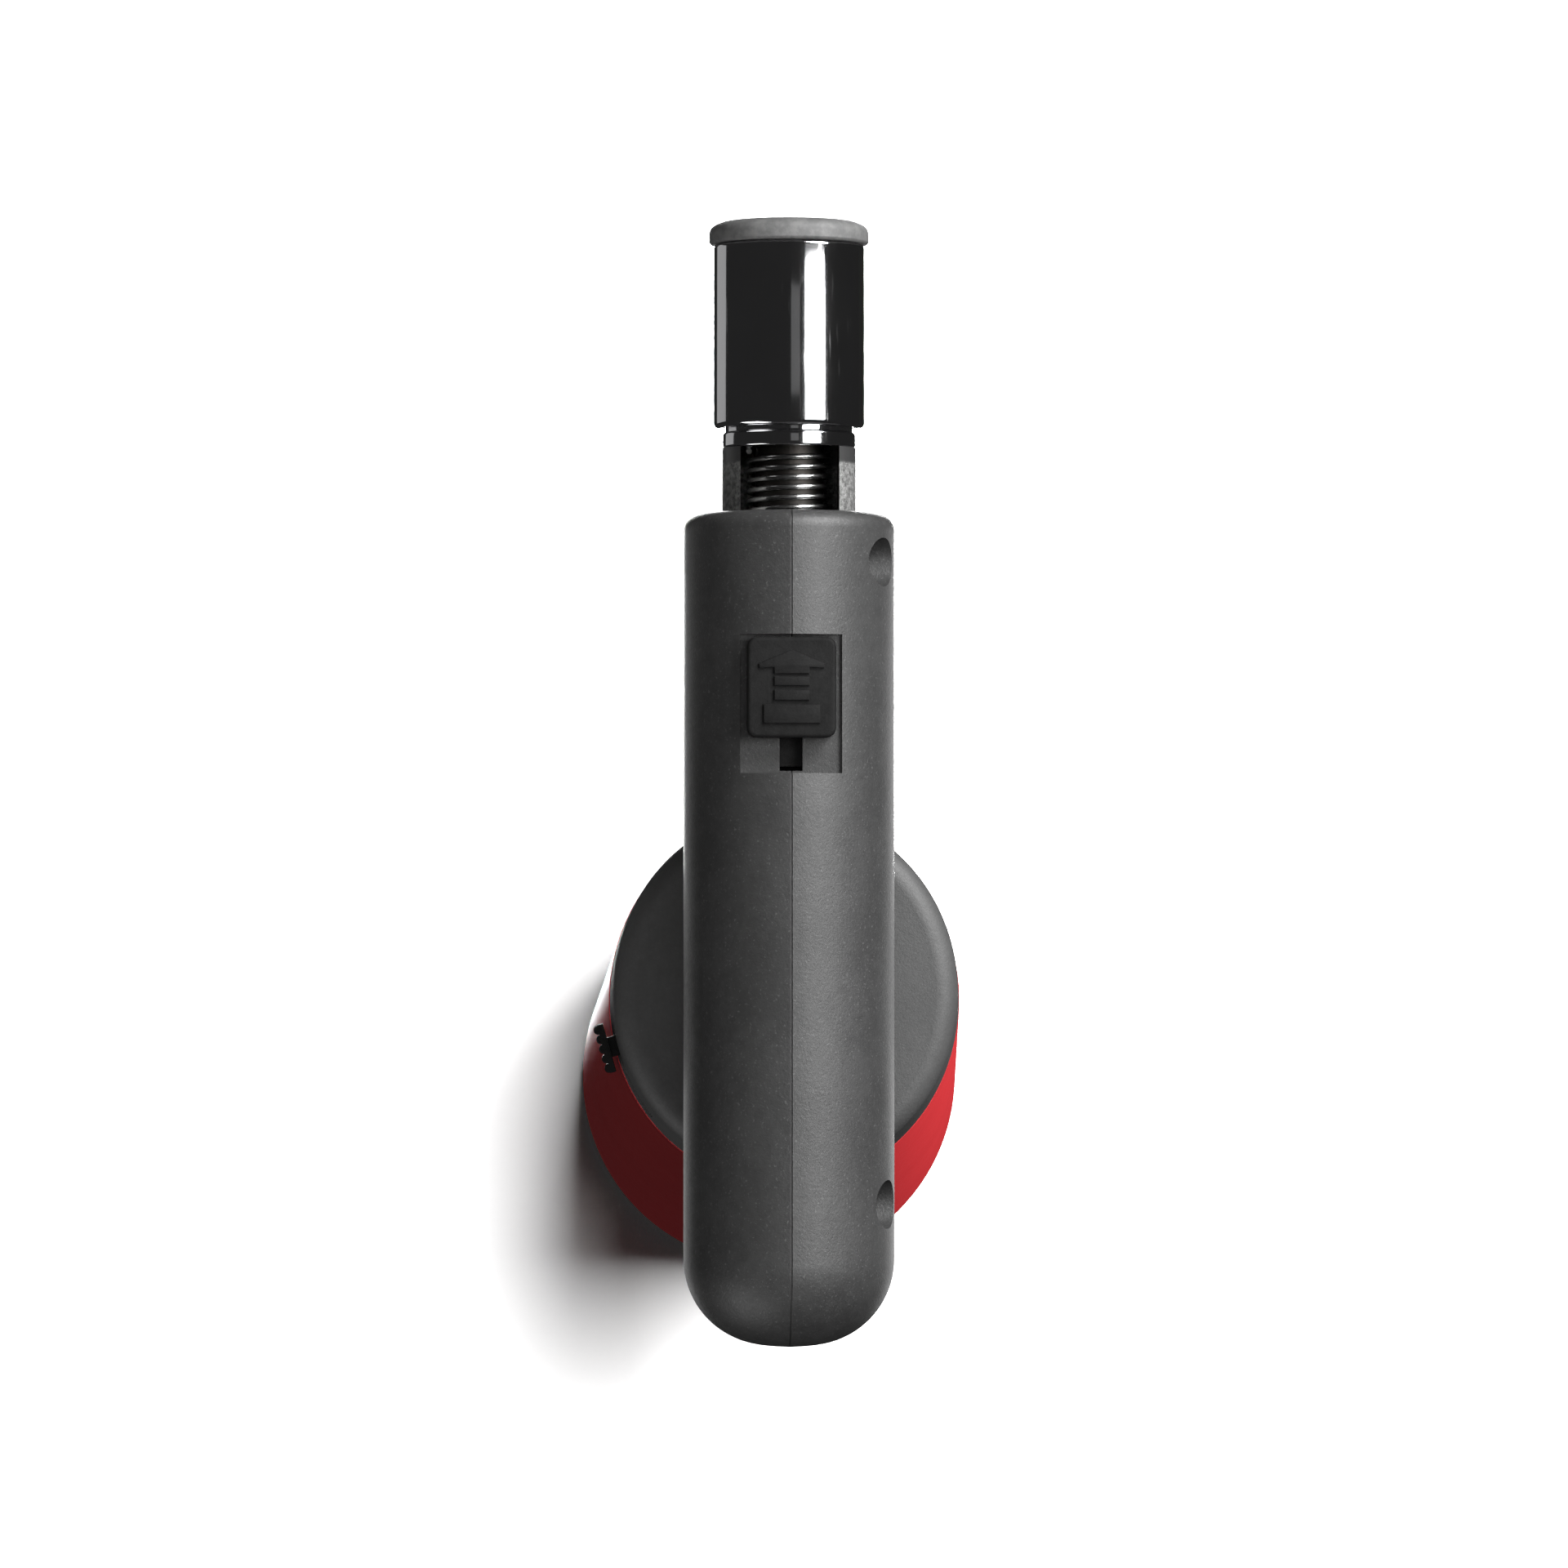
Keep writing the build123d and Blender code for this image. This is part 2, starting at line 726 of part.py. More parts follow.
# ---------------------------------------------------------------- head housing
head_outside = head_block(head_rear, head_front, 0, front_round)
head_hollow = head_block(head_rear + head_wall, head_inner_front, head_wall, 0)
recess_top = screw_recess_floor - 1.5
thin_bosses = cross_rods(housing_screw_places, screw_boss_r, head_half_width, -head_half_width)
wide_bosses = cross_rods(
    housing_screw_places, screw_recess_r + screw_recess_wall, -recess_top, -head_half_width
)
mount_bosses = upright_rods(
    mount_screw_places, mount_boss_r, head_bottom, head_bottom + mount_boss_rise
)
rocker_posts = [
    box_between((rocker_x - post_half, low, head_bottom), (rocker_x + post_half, high, rocker_z + post_half))
    for low, high in (
        (link_outer_y + body_gap, link_outer_y + body_gap + post_wall),
        (-rocker_fork_outer - body_gap - post_wall, -rocker_fork_outer - body_gap),
    )
]
piezo_half = piezo_size / 2
piezo_pocket = box_between(
    (piezo_rear, -piezo_half - seat_gap, piezo_z - piezo_half - seat_gap),
    (head_inner_front, piezo_half + seat_gap, crest_z),
)
piezo_ribs = [
    box_between(
        (place, -head_half_width, head_bottom), (place + rib, head_half_width, head_z + piezo_rib_rise)
    )
    for place in piezo_rib_places
]
pipe_notch = box_between(
    (piezo_rib_places[0], -rib_notch_half, head_floor),
    (piezo_rib_places[-1] + rib, rib_notch_half, pipe_z + 2 * pipe_r),
)
rear_stop = box_between(
    (piezo_rear - seat_gap - piezo_stop, -piezo_half, head_bottom),
    (piezo_rear - seat_gap, piezo_half, piezo_z + piezo_half / 2),
)
tube_rib = box_between(
    (tube_rib_x, -tube_rib_half, head_bottom), (tube_rib_x + rib, tube_rib_half, crest_z)
)
pocket_pan = box_between(
    (pocket_rear - pocket_floor, -pocket_half - pocket_floor, pocket_z - pocket_floor),
    (pocket_front + pocket_floor, pocket_half + pocket_floor, crest_z),
)
pocket_cut = box_between((pocket_rear, -pocket_half, pocket_z), (pocket_front, pocket_half, crest_z + 1))
stem_rear = button_rear + 0.2
slot_cut = box_between(
    (stem_rear - slide_travel - body_gap, -slot_half, pocket_z - pocket_floor),
    (stem_rear + stem_length + body_gap, slot_half, crest_z),
)
front_hole = turned_on_head(
    [(head_inner_front, 0), (head_front, 0), (head_front, front_hole_r), (head_inner_front, front_hole_r)]
)
tube_hole = turned_on_head(
    [
        (tube_rib_x, 0),
        (tube_rib_x + rib, 0),
        (tube_rib_x + rib, mixing_rear_r + seat_gap),
        (tube_rib_x, mixing_rear_r + seat_gap),
    ]
)
fittings_limit = head_block(head_rear + head_wall / 2, head_front - head_wall / 2, head_wall / 2, 0)
with BuildPart() as head_fittings:
    add(thin_bosses)
    add(wide_bosses)
    add(mount_bosses)
    add(rocker_posts)
    add(piezo_ribs)
    add(piezo_pocket, mode=Mode.SUBTRACT)
    add(pipe_notch, mode=Mode.SUBTRACT)
    add(rear_stop)
    add(tube_rib)
    add(tube_hole, mode=Mode.SUBTRACT)
    add(pocket_pan)
    add(fittings_limit, mode=Mode.INTERSECT)

screw_holes = cross_rods(housing_screw_places, screw_r + seat_gap, screw_reach + 1, -screw_recess_floor)
recesses = cross_rods(housing_screw_places, screw_recess_r, -screw_recess_floor, -2 * head_half_width)
rocker_place = ((rocker_x, rocker_z - head_z),)
pin_left = link_outer_y + body_gap + post_wall
pin_right = -rocker_fork_outer - body_gap - post_wall
pin_hole = cross_rods(rocker_place, rocker_pin_r + seat_gap, pin_left, pin_right)
with BuildPart() as head_shell:
    add(head_outside)
    add(head_hollow, mode=Mode.SUBTRACT)
    add(head_fittings.part)
    add(pocket_cut, mode=Mode.SUBTRACT)
    add(slot_cut, mode=Mode.SUBTRACT)
    add(front_hole, mode=Mode.SUBTRACT)
    add(screw_holes, mode=Mode.SUBTRACT)
    add(recesses, mode=Mode.SUBTRACT)
    add(pin_hole, mode=Mode.SUBTRACT)
    add(
        upright_rods(valve_place, valve_hole_r, head_bottom - 1, rocker_z),
        mode=Mode.SUBTRACT,
    )
    add(
        upright_rods(
            mount_screw_places, screw_r + seat_gap, head_bottom - 1, head_floor + mount_screw_reach
        ),
        mode=Mode.SUBTRACT,
    )

with BuildPart() as housing_left:
    add(head_shell.part)
    split(bisect_by=Plane.XZ, keep=Keep.BOTTOM)
housing_left.part.label = "housing_left"
export_step(housing_left.part, "parts/housing_left.step")

with BuildPart() as housing_right:
    add(head_shell.part)
    split(bisect_by=Plane.XZ, keep=Keep.TOP)
housing_right.part.label = "housing_right"
export_step(housing_right.part, "parts/housing_right.step")

with BuildPart() as housing_screws:
    add(cross_rods(housing_screw_places, screw_r, screw_reach, -screw_recess_floor))
    add(
        cross_rods(
            housing_screw_places, screw_head_r, -screw_recess_floor, -screw_recess_floor - screw_head
        )
    )
housing_screws.part.label = "housing_screws"
export_step(housing_screws.part, "parts/housing_screws.step")

with BuildPart() as mount_screws:
    add(upright_rods(mount_screw_places, screw_r, roof_z, head_floor + mount_screw_reach - seat_gap))
    add(upright_rods(mount_screw_places, screw_head_r, roof_z - screw_head, roof_z))
mount_screws.part.label = "mount_screws"
export_step(mount_screws.part, "parts/mount_screws.step")

# ---------------------------------------------------------------- burner
tube_front = burner_front - lip_length
burner_inner_r = burner_r - burner_wall
tube_profile = [
    (burner_back, mixing_r + seat_gap),
    (burner_back, burner_r),
    (tube_front, burner_r),
    (tube_front, burner_inner_r),
    (burner_back + burner_end_wall, burner_inner_r),
    (burner_back + burner_end_wall, mixing_r + seat_gap),
]
electrode_place = (0, head_z - electrode_drop)


def sleeve_rod(radius, start, end):
    """A round rod along the electrode's line."""
    with BuildPart(mode=Mode.PRIVATE) as rod:
        with BuildSketch(Plane.YZ.offset(start)):
            with Locations(electrode_place):
                Circle(radius)
        extrude(amount=end - start)
    return rod.part


sleeve_hole = sleeve_rod(sleeve_r + seat_gap, neck_ring_back, sleeve_front)
tube_body = turned_on_head(tube_profile)
with BuildPart() as burner_tube:
    add(tube_body)
    add(sleeve_hole, mode=Mode.SUBTRACT)
burner_tube.part.label = "burner_tube"
export_step(burner_tube.part, "parts/burner_tube.step")

lip_r = burner_r + lip_step
lip_body = turned_on_head(
    [
        (tube_front - lip_spigot, mouth_r),
        (tube_front - lip_spigot, burner_inner_r - seat_gap),
        (tube_front, burner_inner_r - seat_gap),
        (tube_front, lip_r),
        (burner_front, lip_r),
        (burner_front, mouth_r),
    ]
)
with BuildPart() as burner_lip:
    add(lip_body)
    lip_edges = burner_lip.edges().filter_by(GeomType.CIRCLE).group_by(Axis.X)[-1]
    fillet(lip_edges.sort_by(SortBy.RADIUS)[-1], lip_round)
burner_lip.part.label = "burner_lip"
export_step(burner_lip.part, "parts/burner_lip.step")

neck_body = turned_on_head(
    [
        (neck_ring_back, mixing_r + seat_gap),
        (neck_ring_back, yoke_r),
        (neck_ring_front, yoke_r),
        (neck_ring_front, yoke_r - groove_depth),
        (burner_back, yoke_r - groove_depth),
        (burner_back, mixing_r + seat_gap),
    ]
)
with BuildPart() as burner_neck:
    add(neck_body)
    add(sleeve_hole, mode=Mode.SUBTRACT)
burner_neck.part.label = "burner_neck"
export_step(burner_neck.part, "parts/burner_neck.step")

holder_body = turned_on_head(
    [
        (burner_back + holder_hub_inset, mixing_r + seat_gap),
        (burner_back + holder_hub_inset, holder_hub_r),
        (holder_x, holder_hub_r),
        (holder_x, burner_inner_r - seat_gap),
        (holder_x + holder_thickness, burner_inner_r - seat_gap),
        (holder_x + holder_thickness, 0),
        (holder_x, 0),
        (holder_x, mixing_r + seat_gap),
    ]
)
with BuildPart() as flame_holder:
    add(holder_body)
    with BuildSketch(Plane.YZ.offset(holder_x)):
        with Locations((0, head_z)):
            Circle(pilot_port_r)
            with PolarLocations(pilot_ring_r, 6):
                Circle(pilot_port_r)
            with PolarLocations(flame_ring_r, 11, -90 + 30, 300, endpoint=True):
                Circle(flame_port_r)
    extrude(amount=holder_thickness, mode=Mode.SUBTRACT)
    add(sleeve_hole, mode=Mode.SUBTRACT)
flame_holder.part.label = "flame_holder"
export_step(flame_holder.part, "parts/flame_holder.step")

mixing_front = burner_back + mixing_reach
mixing_step_x = head_front - mixing_step
mixing_body = turned_on_head(
    [
        (mixing_rear, mixing_bore),
        (mixing_rear, mixing_rear_r),
        (spring_stop_x - spring_stop, mixing_rear_r),
        (spring_stop_x - spring_stop, spring_stop_r),
        (spring_stop_x, spring_stop_r),
        (spring_stop_x, mixing_rear_r),
        (mixing_step_x, mixing_rear_r),
        (mixing_step_x, mixing_r),
        (mixing_front, mixing_r),
        (mixing_front, mixing_bore),
    ]
)
air_port_place = (mixing_rear + air_port_inset, 0)
air_ports = cross_rods((air_port_place,), air_port_r, mixing_r, -mixing_r)
with BuildPart() as mixing_tube:
    add(mixing_body)
    add(air_ports, mode=Mode.SUBTRACT)
mixing_tube.part.label = "mixing_tube"
export_step(mixing_tube.part, "parts/mixing_tube.step")

with BuildPart() as burner_spring:
    add(
        coil_spring(
            (spring_stop_x, 0, head_z),
            (1, 0, 0),
            neck_ring_back - spring_stop_x,
            burner_spring_r,
            burner_wire,
            burner_pitch,
        )
    )
burner_spring.part.label = "burner_spring"
export_step(burner_spring.part, "parts/burner_spring.step")

yoke_arms = turned_on_head(
    [
        (head_inner_front, 0),
        (neck_ring_back, 0),
        (neck_ring_back, yoke_r),
        (head_inner_front, yoke_r),
    ]
)
arm_gap = box_between(
    (head_inner_front, -yoke_slot_half, head_z - yoke_r),
    (neck_ring_back, yoke_slot_half, head_z + yoke_r),
)
trough_ring = turned_on_head(
    [
        (neck_ring_back, yoke_r - yoke_ring_wall),
        (neck_ring_back, yoke_r),
        (head_inner_front, yoke_r),
        (head_inner_front, yoke_r - yoke_ring_wall),
    ]
)
trough_half = box_between(
    (head_inner_front, -yoke_slot_half, head_z - yoke_r),
    (neck_ring_back, yoke_slot_half, head_z),
)
with BuildPart() as yoke_trough:
    add(trough_ring)
    add(trough_half, mode=Mode.INTERSECT)
flange_r = front_hole_r + yoke_flange_rim
flange_ring = turned_on_head(
    [
        (head_inner_front - yoke_flange, yoke_r - yoke_ring_wall),
        (head_inner_front, yoke_r - yoke_ring_wall),
        (head_inner_front, flange_r),
        (head_inner_front - yoke_flange, flange_r),
    ]
)
flange_cut = box_between(
    (head_inner_front - yoke_flange, -flange_r, head_z + yoke_flange_top),
    (head_inner_front, flange_r, head_z + flange_r),
)
with BuildPart() as burner_yoke:
    add(yoke_arms)
    add(arm_gap, mode=Mode.SUBTRACT)
    add(yoke_trough.part)
    add(flange_ring)
    add(flange_cut, mode=Mode.SUBTRACT)
burner_yoke.part.label = "burner_yoke"
export_step(burner_yoke.part, "parts/burner_yoke.step")

# ---------------------------------------------------------------- gas jet and pipe
jet_front = mixing_rear + jet_spigot
jet_body = turned_on_head(
    [
        (jet_back, 0),
        (jet_back, mixing_rear_r),
        (mixing_rear, mixing_rear_r),
        (mixing_rear, mixing_bore - seat_gap),
        (jet_front, mixing_bore - seat_gap),
        (jet_front, 0),
    ]
)
pipe_end_z = head_z - mixing_rear_r + pipe_entry
jet_bore = turned_on_head(
    [(pipe_x, 0), (pipe_x, jet_orifice), (jet_front, jet_orifice), (jet_front, 0)]
)
with BuildPart() as gas_jet:
    add(jet_body)
    add(jet_bore, mode=Mode.SUBTRACT)
    add(
        upright_rods([(pipe_x, 0)], pipe_r + seat_gap, head_z - mixing_rear_r, pipe_end_z),
        mode=Mode.SUBTRACT,
    )
gas_jet.part.label = "gas_jet"
export_step(gas_jet.part, "parts/gas_jet.step")

with BuildPart() as gas_pipe:
    with BuildLine() as pipe_route:
        FilletPolyline(
            (valve_x + valve_top_r, 0, pipe_z),
            (pipe_x, 0, pipe_z),
            (pipe_x, 0, pipe_end_z),
            radius=pipe_bend,
        )
    with BuildSketch(Plane(origin=pipe_route.line @ 0, z_dir=pipe_route.line % 0)):
        Circle(pipe_r)
        Circle(pipe_bore, mode=Mode.SUBTRACT)
    sweep(path=pipe_route.line)
gas_pipe.part.label = "gas_pipe"
export_step(gas_pipe.part, "parts/gas_pipe.step")

# ---------------------------------------------------------------- spark
with BuildPart() as electrode_insulator:
    add(sleeve_rod(sleeve_r, neck_ring_back, sleeve_front))
    add(
        sleeve_rod(electrode_r + seat_gap, neck_ring_back, sleeve_front),
        mode=Mode.SUBTRACT,
    )
electrode_insulator.part.label = "electrode_insulator"
export_step(electrode_insulator.part, "parts/electrode_insulator.step")

electrode_z = head_z - electrode_drop
electrode_x = burner_back + electrode_reach
with BuildPart() as ignition_electrode:
    with BuildLine() as electrode_route:
        FilletPolyline(
            (neck_ring_back, 0, electrode_z),
            (electrode_x, 0, electrode_z),
            (electrode_x + electrode_hook / 3, 0, electrode_z + electrode_hook),
            radius=2 * electrode_r,
        )
    with BuildSketch(Plane(origin=electrode_route.line @ 0, z_dir=electrode_route.line % 0)):
        Circle(electrode_r)
    sweep(path=electrode_route.line)
ignition_electrode.part.label = "ignition_electrode"
export_step(ignition_electrode.part, "parts/ignition_electrode.step")

lead_points = (
    (piezo_front - 8.0, -piezo_half, piezo_z),
    (piezo_front - 8.0, -7.6, piezo_z),
    (tube_rib_x - 3.0, -7.6, head_z + 1.0),
    (tube_rib_x + 4.0, -6.0, head_z - 6.0),
    (spring_stop_x + 2.3, 0, electrode_z),
    (neck_ring_back, 0, electrode_z),
)
lead_radii = (2.0, 8.0, 8.0, 10.0)
with BuildPart() as spark_lead:
    with BuildLine() as lead_route:
        FilletPolyline(*lead_points, radius=lead_radii)
    with BuildSketch(Plane(origin=lead_route.line @ 0, z_dir=lead_route.line % 0)):
        Circle(lead_r)
    sweep(path=lead_route.line)
spark_lead.part.label = "spark_lead"
export_step(spark_lead.part, "parts/spark_lead.step")

plunger_axis_place = (0, piezo_z)


def piezo_rod(radius, start, end):
    """A round rod along the piezo unit's axis."""
    with BuildPart(mode=Mode.PRIVATE) as rod:
        with BuildSketch(Plane.YZ.offset(start)):
            with Locations(plunger_axis_place):
                Circle(radius)
        extrude(amount=end - start)
    return rod.part


piezo_block = box_between(
    (piezo_rear, -piezo_half, piezo_z - piezo_half), (piezo_front, piezo_half, piezo_z + piezo_half)
)
with BuildPart() as piezo_body:
    add(piezo_block)
    fillet(piezo_body.edges().filter_by(Axis.X), 1.0)
    add(
        piezo_rod(plunger_r + running_gap, piezo_front - plunger_depth - slide_travel - piezo_bore_spare, piezo_front),
        mode=Mode.SUBTRACT,
    )
piezo_body.part.label = "piezo_body"
export_step(piezo_body.part, "parts/piezo_body.step")

with BuildPart() as piezo_plunger:
    add(piezo_rod(plunger_r, piezo_front - plunger_depth, foot_x))
    add(piezo_rod(plunger_head_r, plunger_face, foot_x))
piezo_plunger.part.label = "piezo_plunger"
export_step(piezo_plunger.part, "parts/piezo_plunger.step")

with BuildPart() as piezo_spring:
    add(
        coil_spring(
            (piezo_front, 0, piezo_z),
            (1, 0, 0),
            piezo_spring_gap,
            piezo_spring_r,
            piezo_wire,
            piezo_spring_gap / 5,
        )
    )
piezo_spring.part.label = "piezo_spring"
export_step(piezo_spring.part, "parts/piezo_spring.step")

# ---------------------------------------------------------------- ignition slide
plate_top = pocket_z - pocket_floor - body_gap
plate_z = plate_top - carriage_plate
button_z = pocket_z + button_float
button_middle = (button_front + button_rear) / 2
stem_front = stem_rear + stem_length
with BuildPart() as ignition_slide:
    with BuildSketch(Plane.XY.offset(button_z)):
        with Locations((button_middle, 0)):
            RectangleRounded(button_front - button_rear, 2 * button_half, button_corner)
    extrude(amount=crest_z + button_proud - button_z)
    fillet(ignition_slide.edges().group_by(Axis.Z)[-1], button_edge)
    add(box_between((stem_rear, -stem_half, plate_z), (stem_front, stem_half, button_z)))
ignition_slide.part.label = "ignition_slide"
export_step(ignition_slide.part, "parts/ignition_slide.step")

rocker_face = rocker_x + rocker_arm_half + body_gap
with BuildPart() as slide_carriage:
    add(box_between((foot_x, -carriage_half, plate_z), (button_front - carriage_inset, carriage_half, plate_top)))
    add(
        box_between(
            (foot_x, -foot_half, piezo_z - plunger_head_r), (foot_x + foot_length, foot_half, plate_top)
        )
    )
    add(
        box_between(
            (foot_x, 0, link_z - link_half_height), (foot_x + foot_length, link_outer_y, plate_z)
        )
    )
    with BuildSketch(Plane.XZ.offset(-link_outer_y)):
        with BuildLine():
            nose = CenterArc((rocker_face + link_half_height, link_z), link_half_height, 90, 180)
            Polyline(
                nose @ 1,
                (foot_x + foot_length, link_z - link_half_height),
                (foot_x + foot_length, link_z + link_half_height),
                nose @ 0,
            )
        make_face()
    extrude(amount=link_outer_y - link_inner_y)
    add(
        box_between(
            (stem_rear - seat_gap, -stem_half - seat_gap, plate_z),
            (stem_front + seat_gap, stem_half + seat_gap, plate_top),
        ),
        mode=Mode.SUBTRACT,
    )
slide_carriage.part.label = "slide_carriage"
export_step(slide_carriage.part, "parts/slide_carriage.step")

# ---------------------------------------------------------------- rocker
fork_profile_z = (rocker_z - rocker_fork_half, rocker_z + rocker_fork_half)
rocker_arm_top = link_z + link_half_height
with BuildPart() as valve_rocker:
    add(cross_rods(rocker_place, rocker_hub_r, link_outer_y, -rocker_fork_outer))
    add(
        box_between(
            (rocker_x, -rocker_fork_outer, fork_profile_z[0]),
            (valve_x, rocker_fork_outer, fork_profile_z[1]),
        )
    )
    add(
        cross_rods(
            ((valve_x, rocker_z - head_z),), rocker_fork_half, rocker_fork_outer, -rocker_fork_outer
        )
    )
    add(
        box_between(
            (rocker_x + rocker_hub_r + body_gap, -rocker_fork_slot, fork_profile_z[0]),
            (valve_x + rocker_fork_half, rocker_fork_slot, fork_profile_z[1]),
        ),
        mode=Mode.SUBTRACT,
    )
    add(
        box_between(
            (rocker_x - rocker_arm_half, rocker_arm_inner_y, rocker_z),
            (rocker_x + rocker_arm_half, link_outer_y, rocker_arm_top),
        )
    )
    add(
        cross_rods(
            rocker_place, rocker_pin_r + running_gap, link_outer_y, -rocker_fork_outer
        ),
        mode=Mode.SUBTRACT,
    )
valve_rocker.part.label = "valve_rocker"
export_step(valve_rocker.part, "parts/valve_rocker.step")

with BuildPart() as rocker_pin:
    add(cross_rods(rocker_place, rocker_pin_r, pin_left, pin_right))
rocker_pin.part.label = "rocker_pin"
export_step(rocker_pin.part, "parts/rocker_pin.step")
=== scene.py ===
# %% [markdown]
# # A table-top butane torch
# The torch is a long dark head with a chrome burner in front, across the top of a red oval
# fuel tank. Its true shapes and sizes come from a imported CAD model, which is loaded as a fixed
# frame. This notebook adds what the eye sees first: moulded grain, paint, plating, cast metal,
# crisp small mouldings, soft light and a camera. Everything is in metres.

# %% Load the frame
import json
from math import cos, pi, radians, sin

import bmesh
import bpy
from mathutils import Matrix, Vector


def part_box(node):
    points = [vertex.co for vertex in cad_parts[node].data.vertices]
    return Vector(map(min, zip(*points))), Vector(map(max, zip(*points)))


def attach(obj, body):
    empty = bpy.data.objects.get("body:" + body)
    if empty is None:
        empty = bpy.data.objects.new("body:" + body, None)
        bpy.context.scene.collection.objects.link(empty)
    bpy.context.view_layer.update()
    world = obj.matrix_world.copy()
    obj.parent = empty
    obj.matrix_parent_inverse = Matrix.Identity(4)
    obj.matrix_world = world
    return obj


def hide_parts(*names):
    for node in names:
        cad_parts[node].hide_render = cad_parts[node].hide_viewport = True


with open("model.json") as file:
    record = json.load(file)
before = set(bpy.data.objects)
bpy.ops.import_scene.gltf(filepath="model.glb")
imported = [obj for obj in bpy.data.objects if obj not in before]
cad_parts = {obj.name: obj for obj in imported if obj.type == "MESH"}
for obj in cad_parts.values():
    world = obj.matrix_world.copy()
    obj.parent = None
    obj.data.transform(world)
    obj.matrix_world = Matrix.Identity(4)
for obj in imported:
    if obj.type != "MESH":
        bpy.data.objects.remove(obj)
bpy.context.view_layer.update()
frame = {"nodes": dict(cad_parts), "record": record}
nodes = frame["nodes"]
MM = 0.001


# %% [markdown]
# ## Lines of the torch
# A maker marks out the lines that everything else is set from: the head's axis, the crest of
# its arch and the burner's two ends. They are read from the CAD pieces, so that nothing is
# placed by eye.

# %% Mark out the lines
tube_low, tube_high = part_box("burner_tube")
lip_low, lip_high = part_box("burner_lip")
neck_low, neck_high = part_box("burner_neck")
crest_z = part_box("housing_right")[1].z
button_low, button_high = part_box("ignition_slide")
axis_z = (tube_low.z + tube_high.z) / 2
tube_radius = (tube_high.z - tube_low.z) / 2
print("head axis", round(axis_z, 4), "burner radius", round(tube_radius, 5))

# %% [markdown]
# ## Shader sums
# A finish is mostly arithmetic on patterns: how much grain, how much dust, where a seam runs.
# Wiring each Math node by hand hides that arithmetic, so one small class wraps a node's output
# and lets it be added, multiplied or compared as a number would be.


# %% A class for shader sums
class Wire:
    """An output of a material's node, for use in sums and in the sockets of other nodes."""

    def __init__(self, tree, socket=None):
        self.tree = tree
        self.socket = socket

    def node(self, kind, settings=None, inputs=None, output=0):
        """Adds a node: its settings come first, then a value or a wire for each socket."""
        made = self.tree.nodes.new("ShaderNode" + kind)
        for name, value in (settings or {}).items():
            if name != "stops":
                setattr(made, name, value)
                continue
            ramp = made.color_ramp
            while len(ramp.elements) < len(value):
                ramp.elements.new(1.0)
            for stop, (place, shade) in zip(ramp.elements, value):
                stop.position = place
                stop.color = (shade, shade, shade, 1.0)
        for name, value in (inputs or {}).items():
            if isinstance(value, Wire):
                self.tree.links.new(value.socket, made.inputs[name])
            else:
                made.inputs[name].default_value = value
        return Wire(self.tree, made.outputs[output])

    def maths(self, operation, *values, clamp=False):
        """A Math node on these values."""
        return self.node("Math", {"operation": operation, "use_clamp": clamp}, dict(enumerate(values)))

    def __add__(self, other):
        return self.maths("ADD", self, other)

    __radd__ = __add__

    def __mul__(self, other):
        return self.maths("MULTIPLY", self, other)

    __rmul__ = __mul__

    def __sub__(self, other):
        return self.maths("SUBTRACT", self, other)

    def __rsub__(self, other):
        return self.maths("SUBTRACT", other, self)

    def __abs__(self):
        return self.maths("ABSOLUTE", self)

    def span(self, low, high, to_low=0.0, to_high=1.0):
        """This value from low to high, mapped smoothly onto to_low to to_high."""
        limits = {"Value": self, "From Min": low, "From Max": high, "To Min": to_low, "To Max": to_high}
        return self.node("MapRange", {"interpolation_type": "SMOOTHSTEP"}, limits)


# %% [markdown]
# Every finish starts in the same way: a Principled shader, the object's own coordinates, and
# colours mixed by a mask. Sizes of patterns are given in millimetres, because that is how a
# maker would measure a grain or a brush mark.


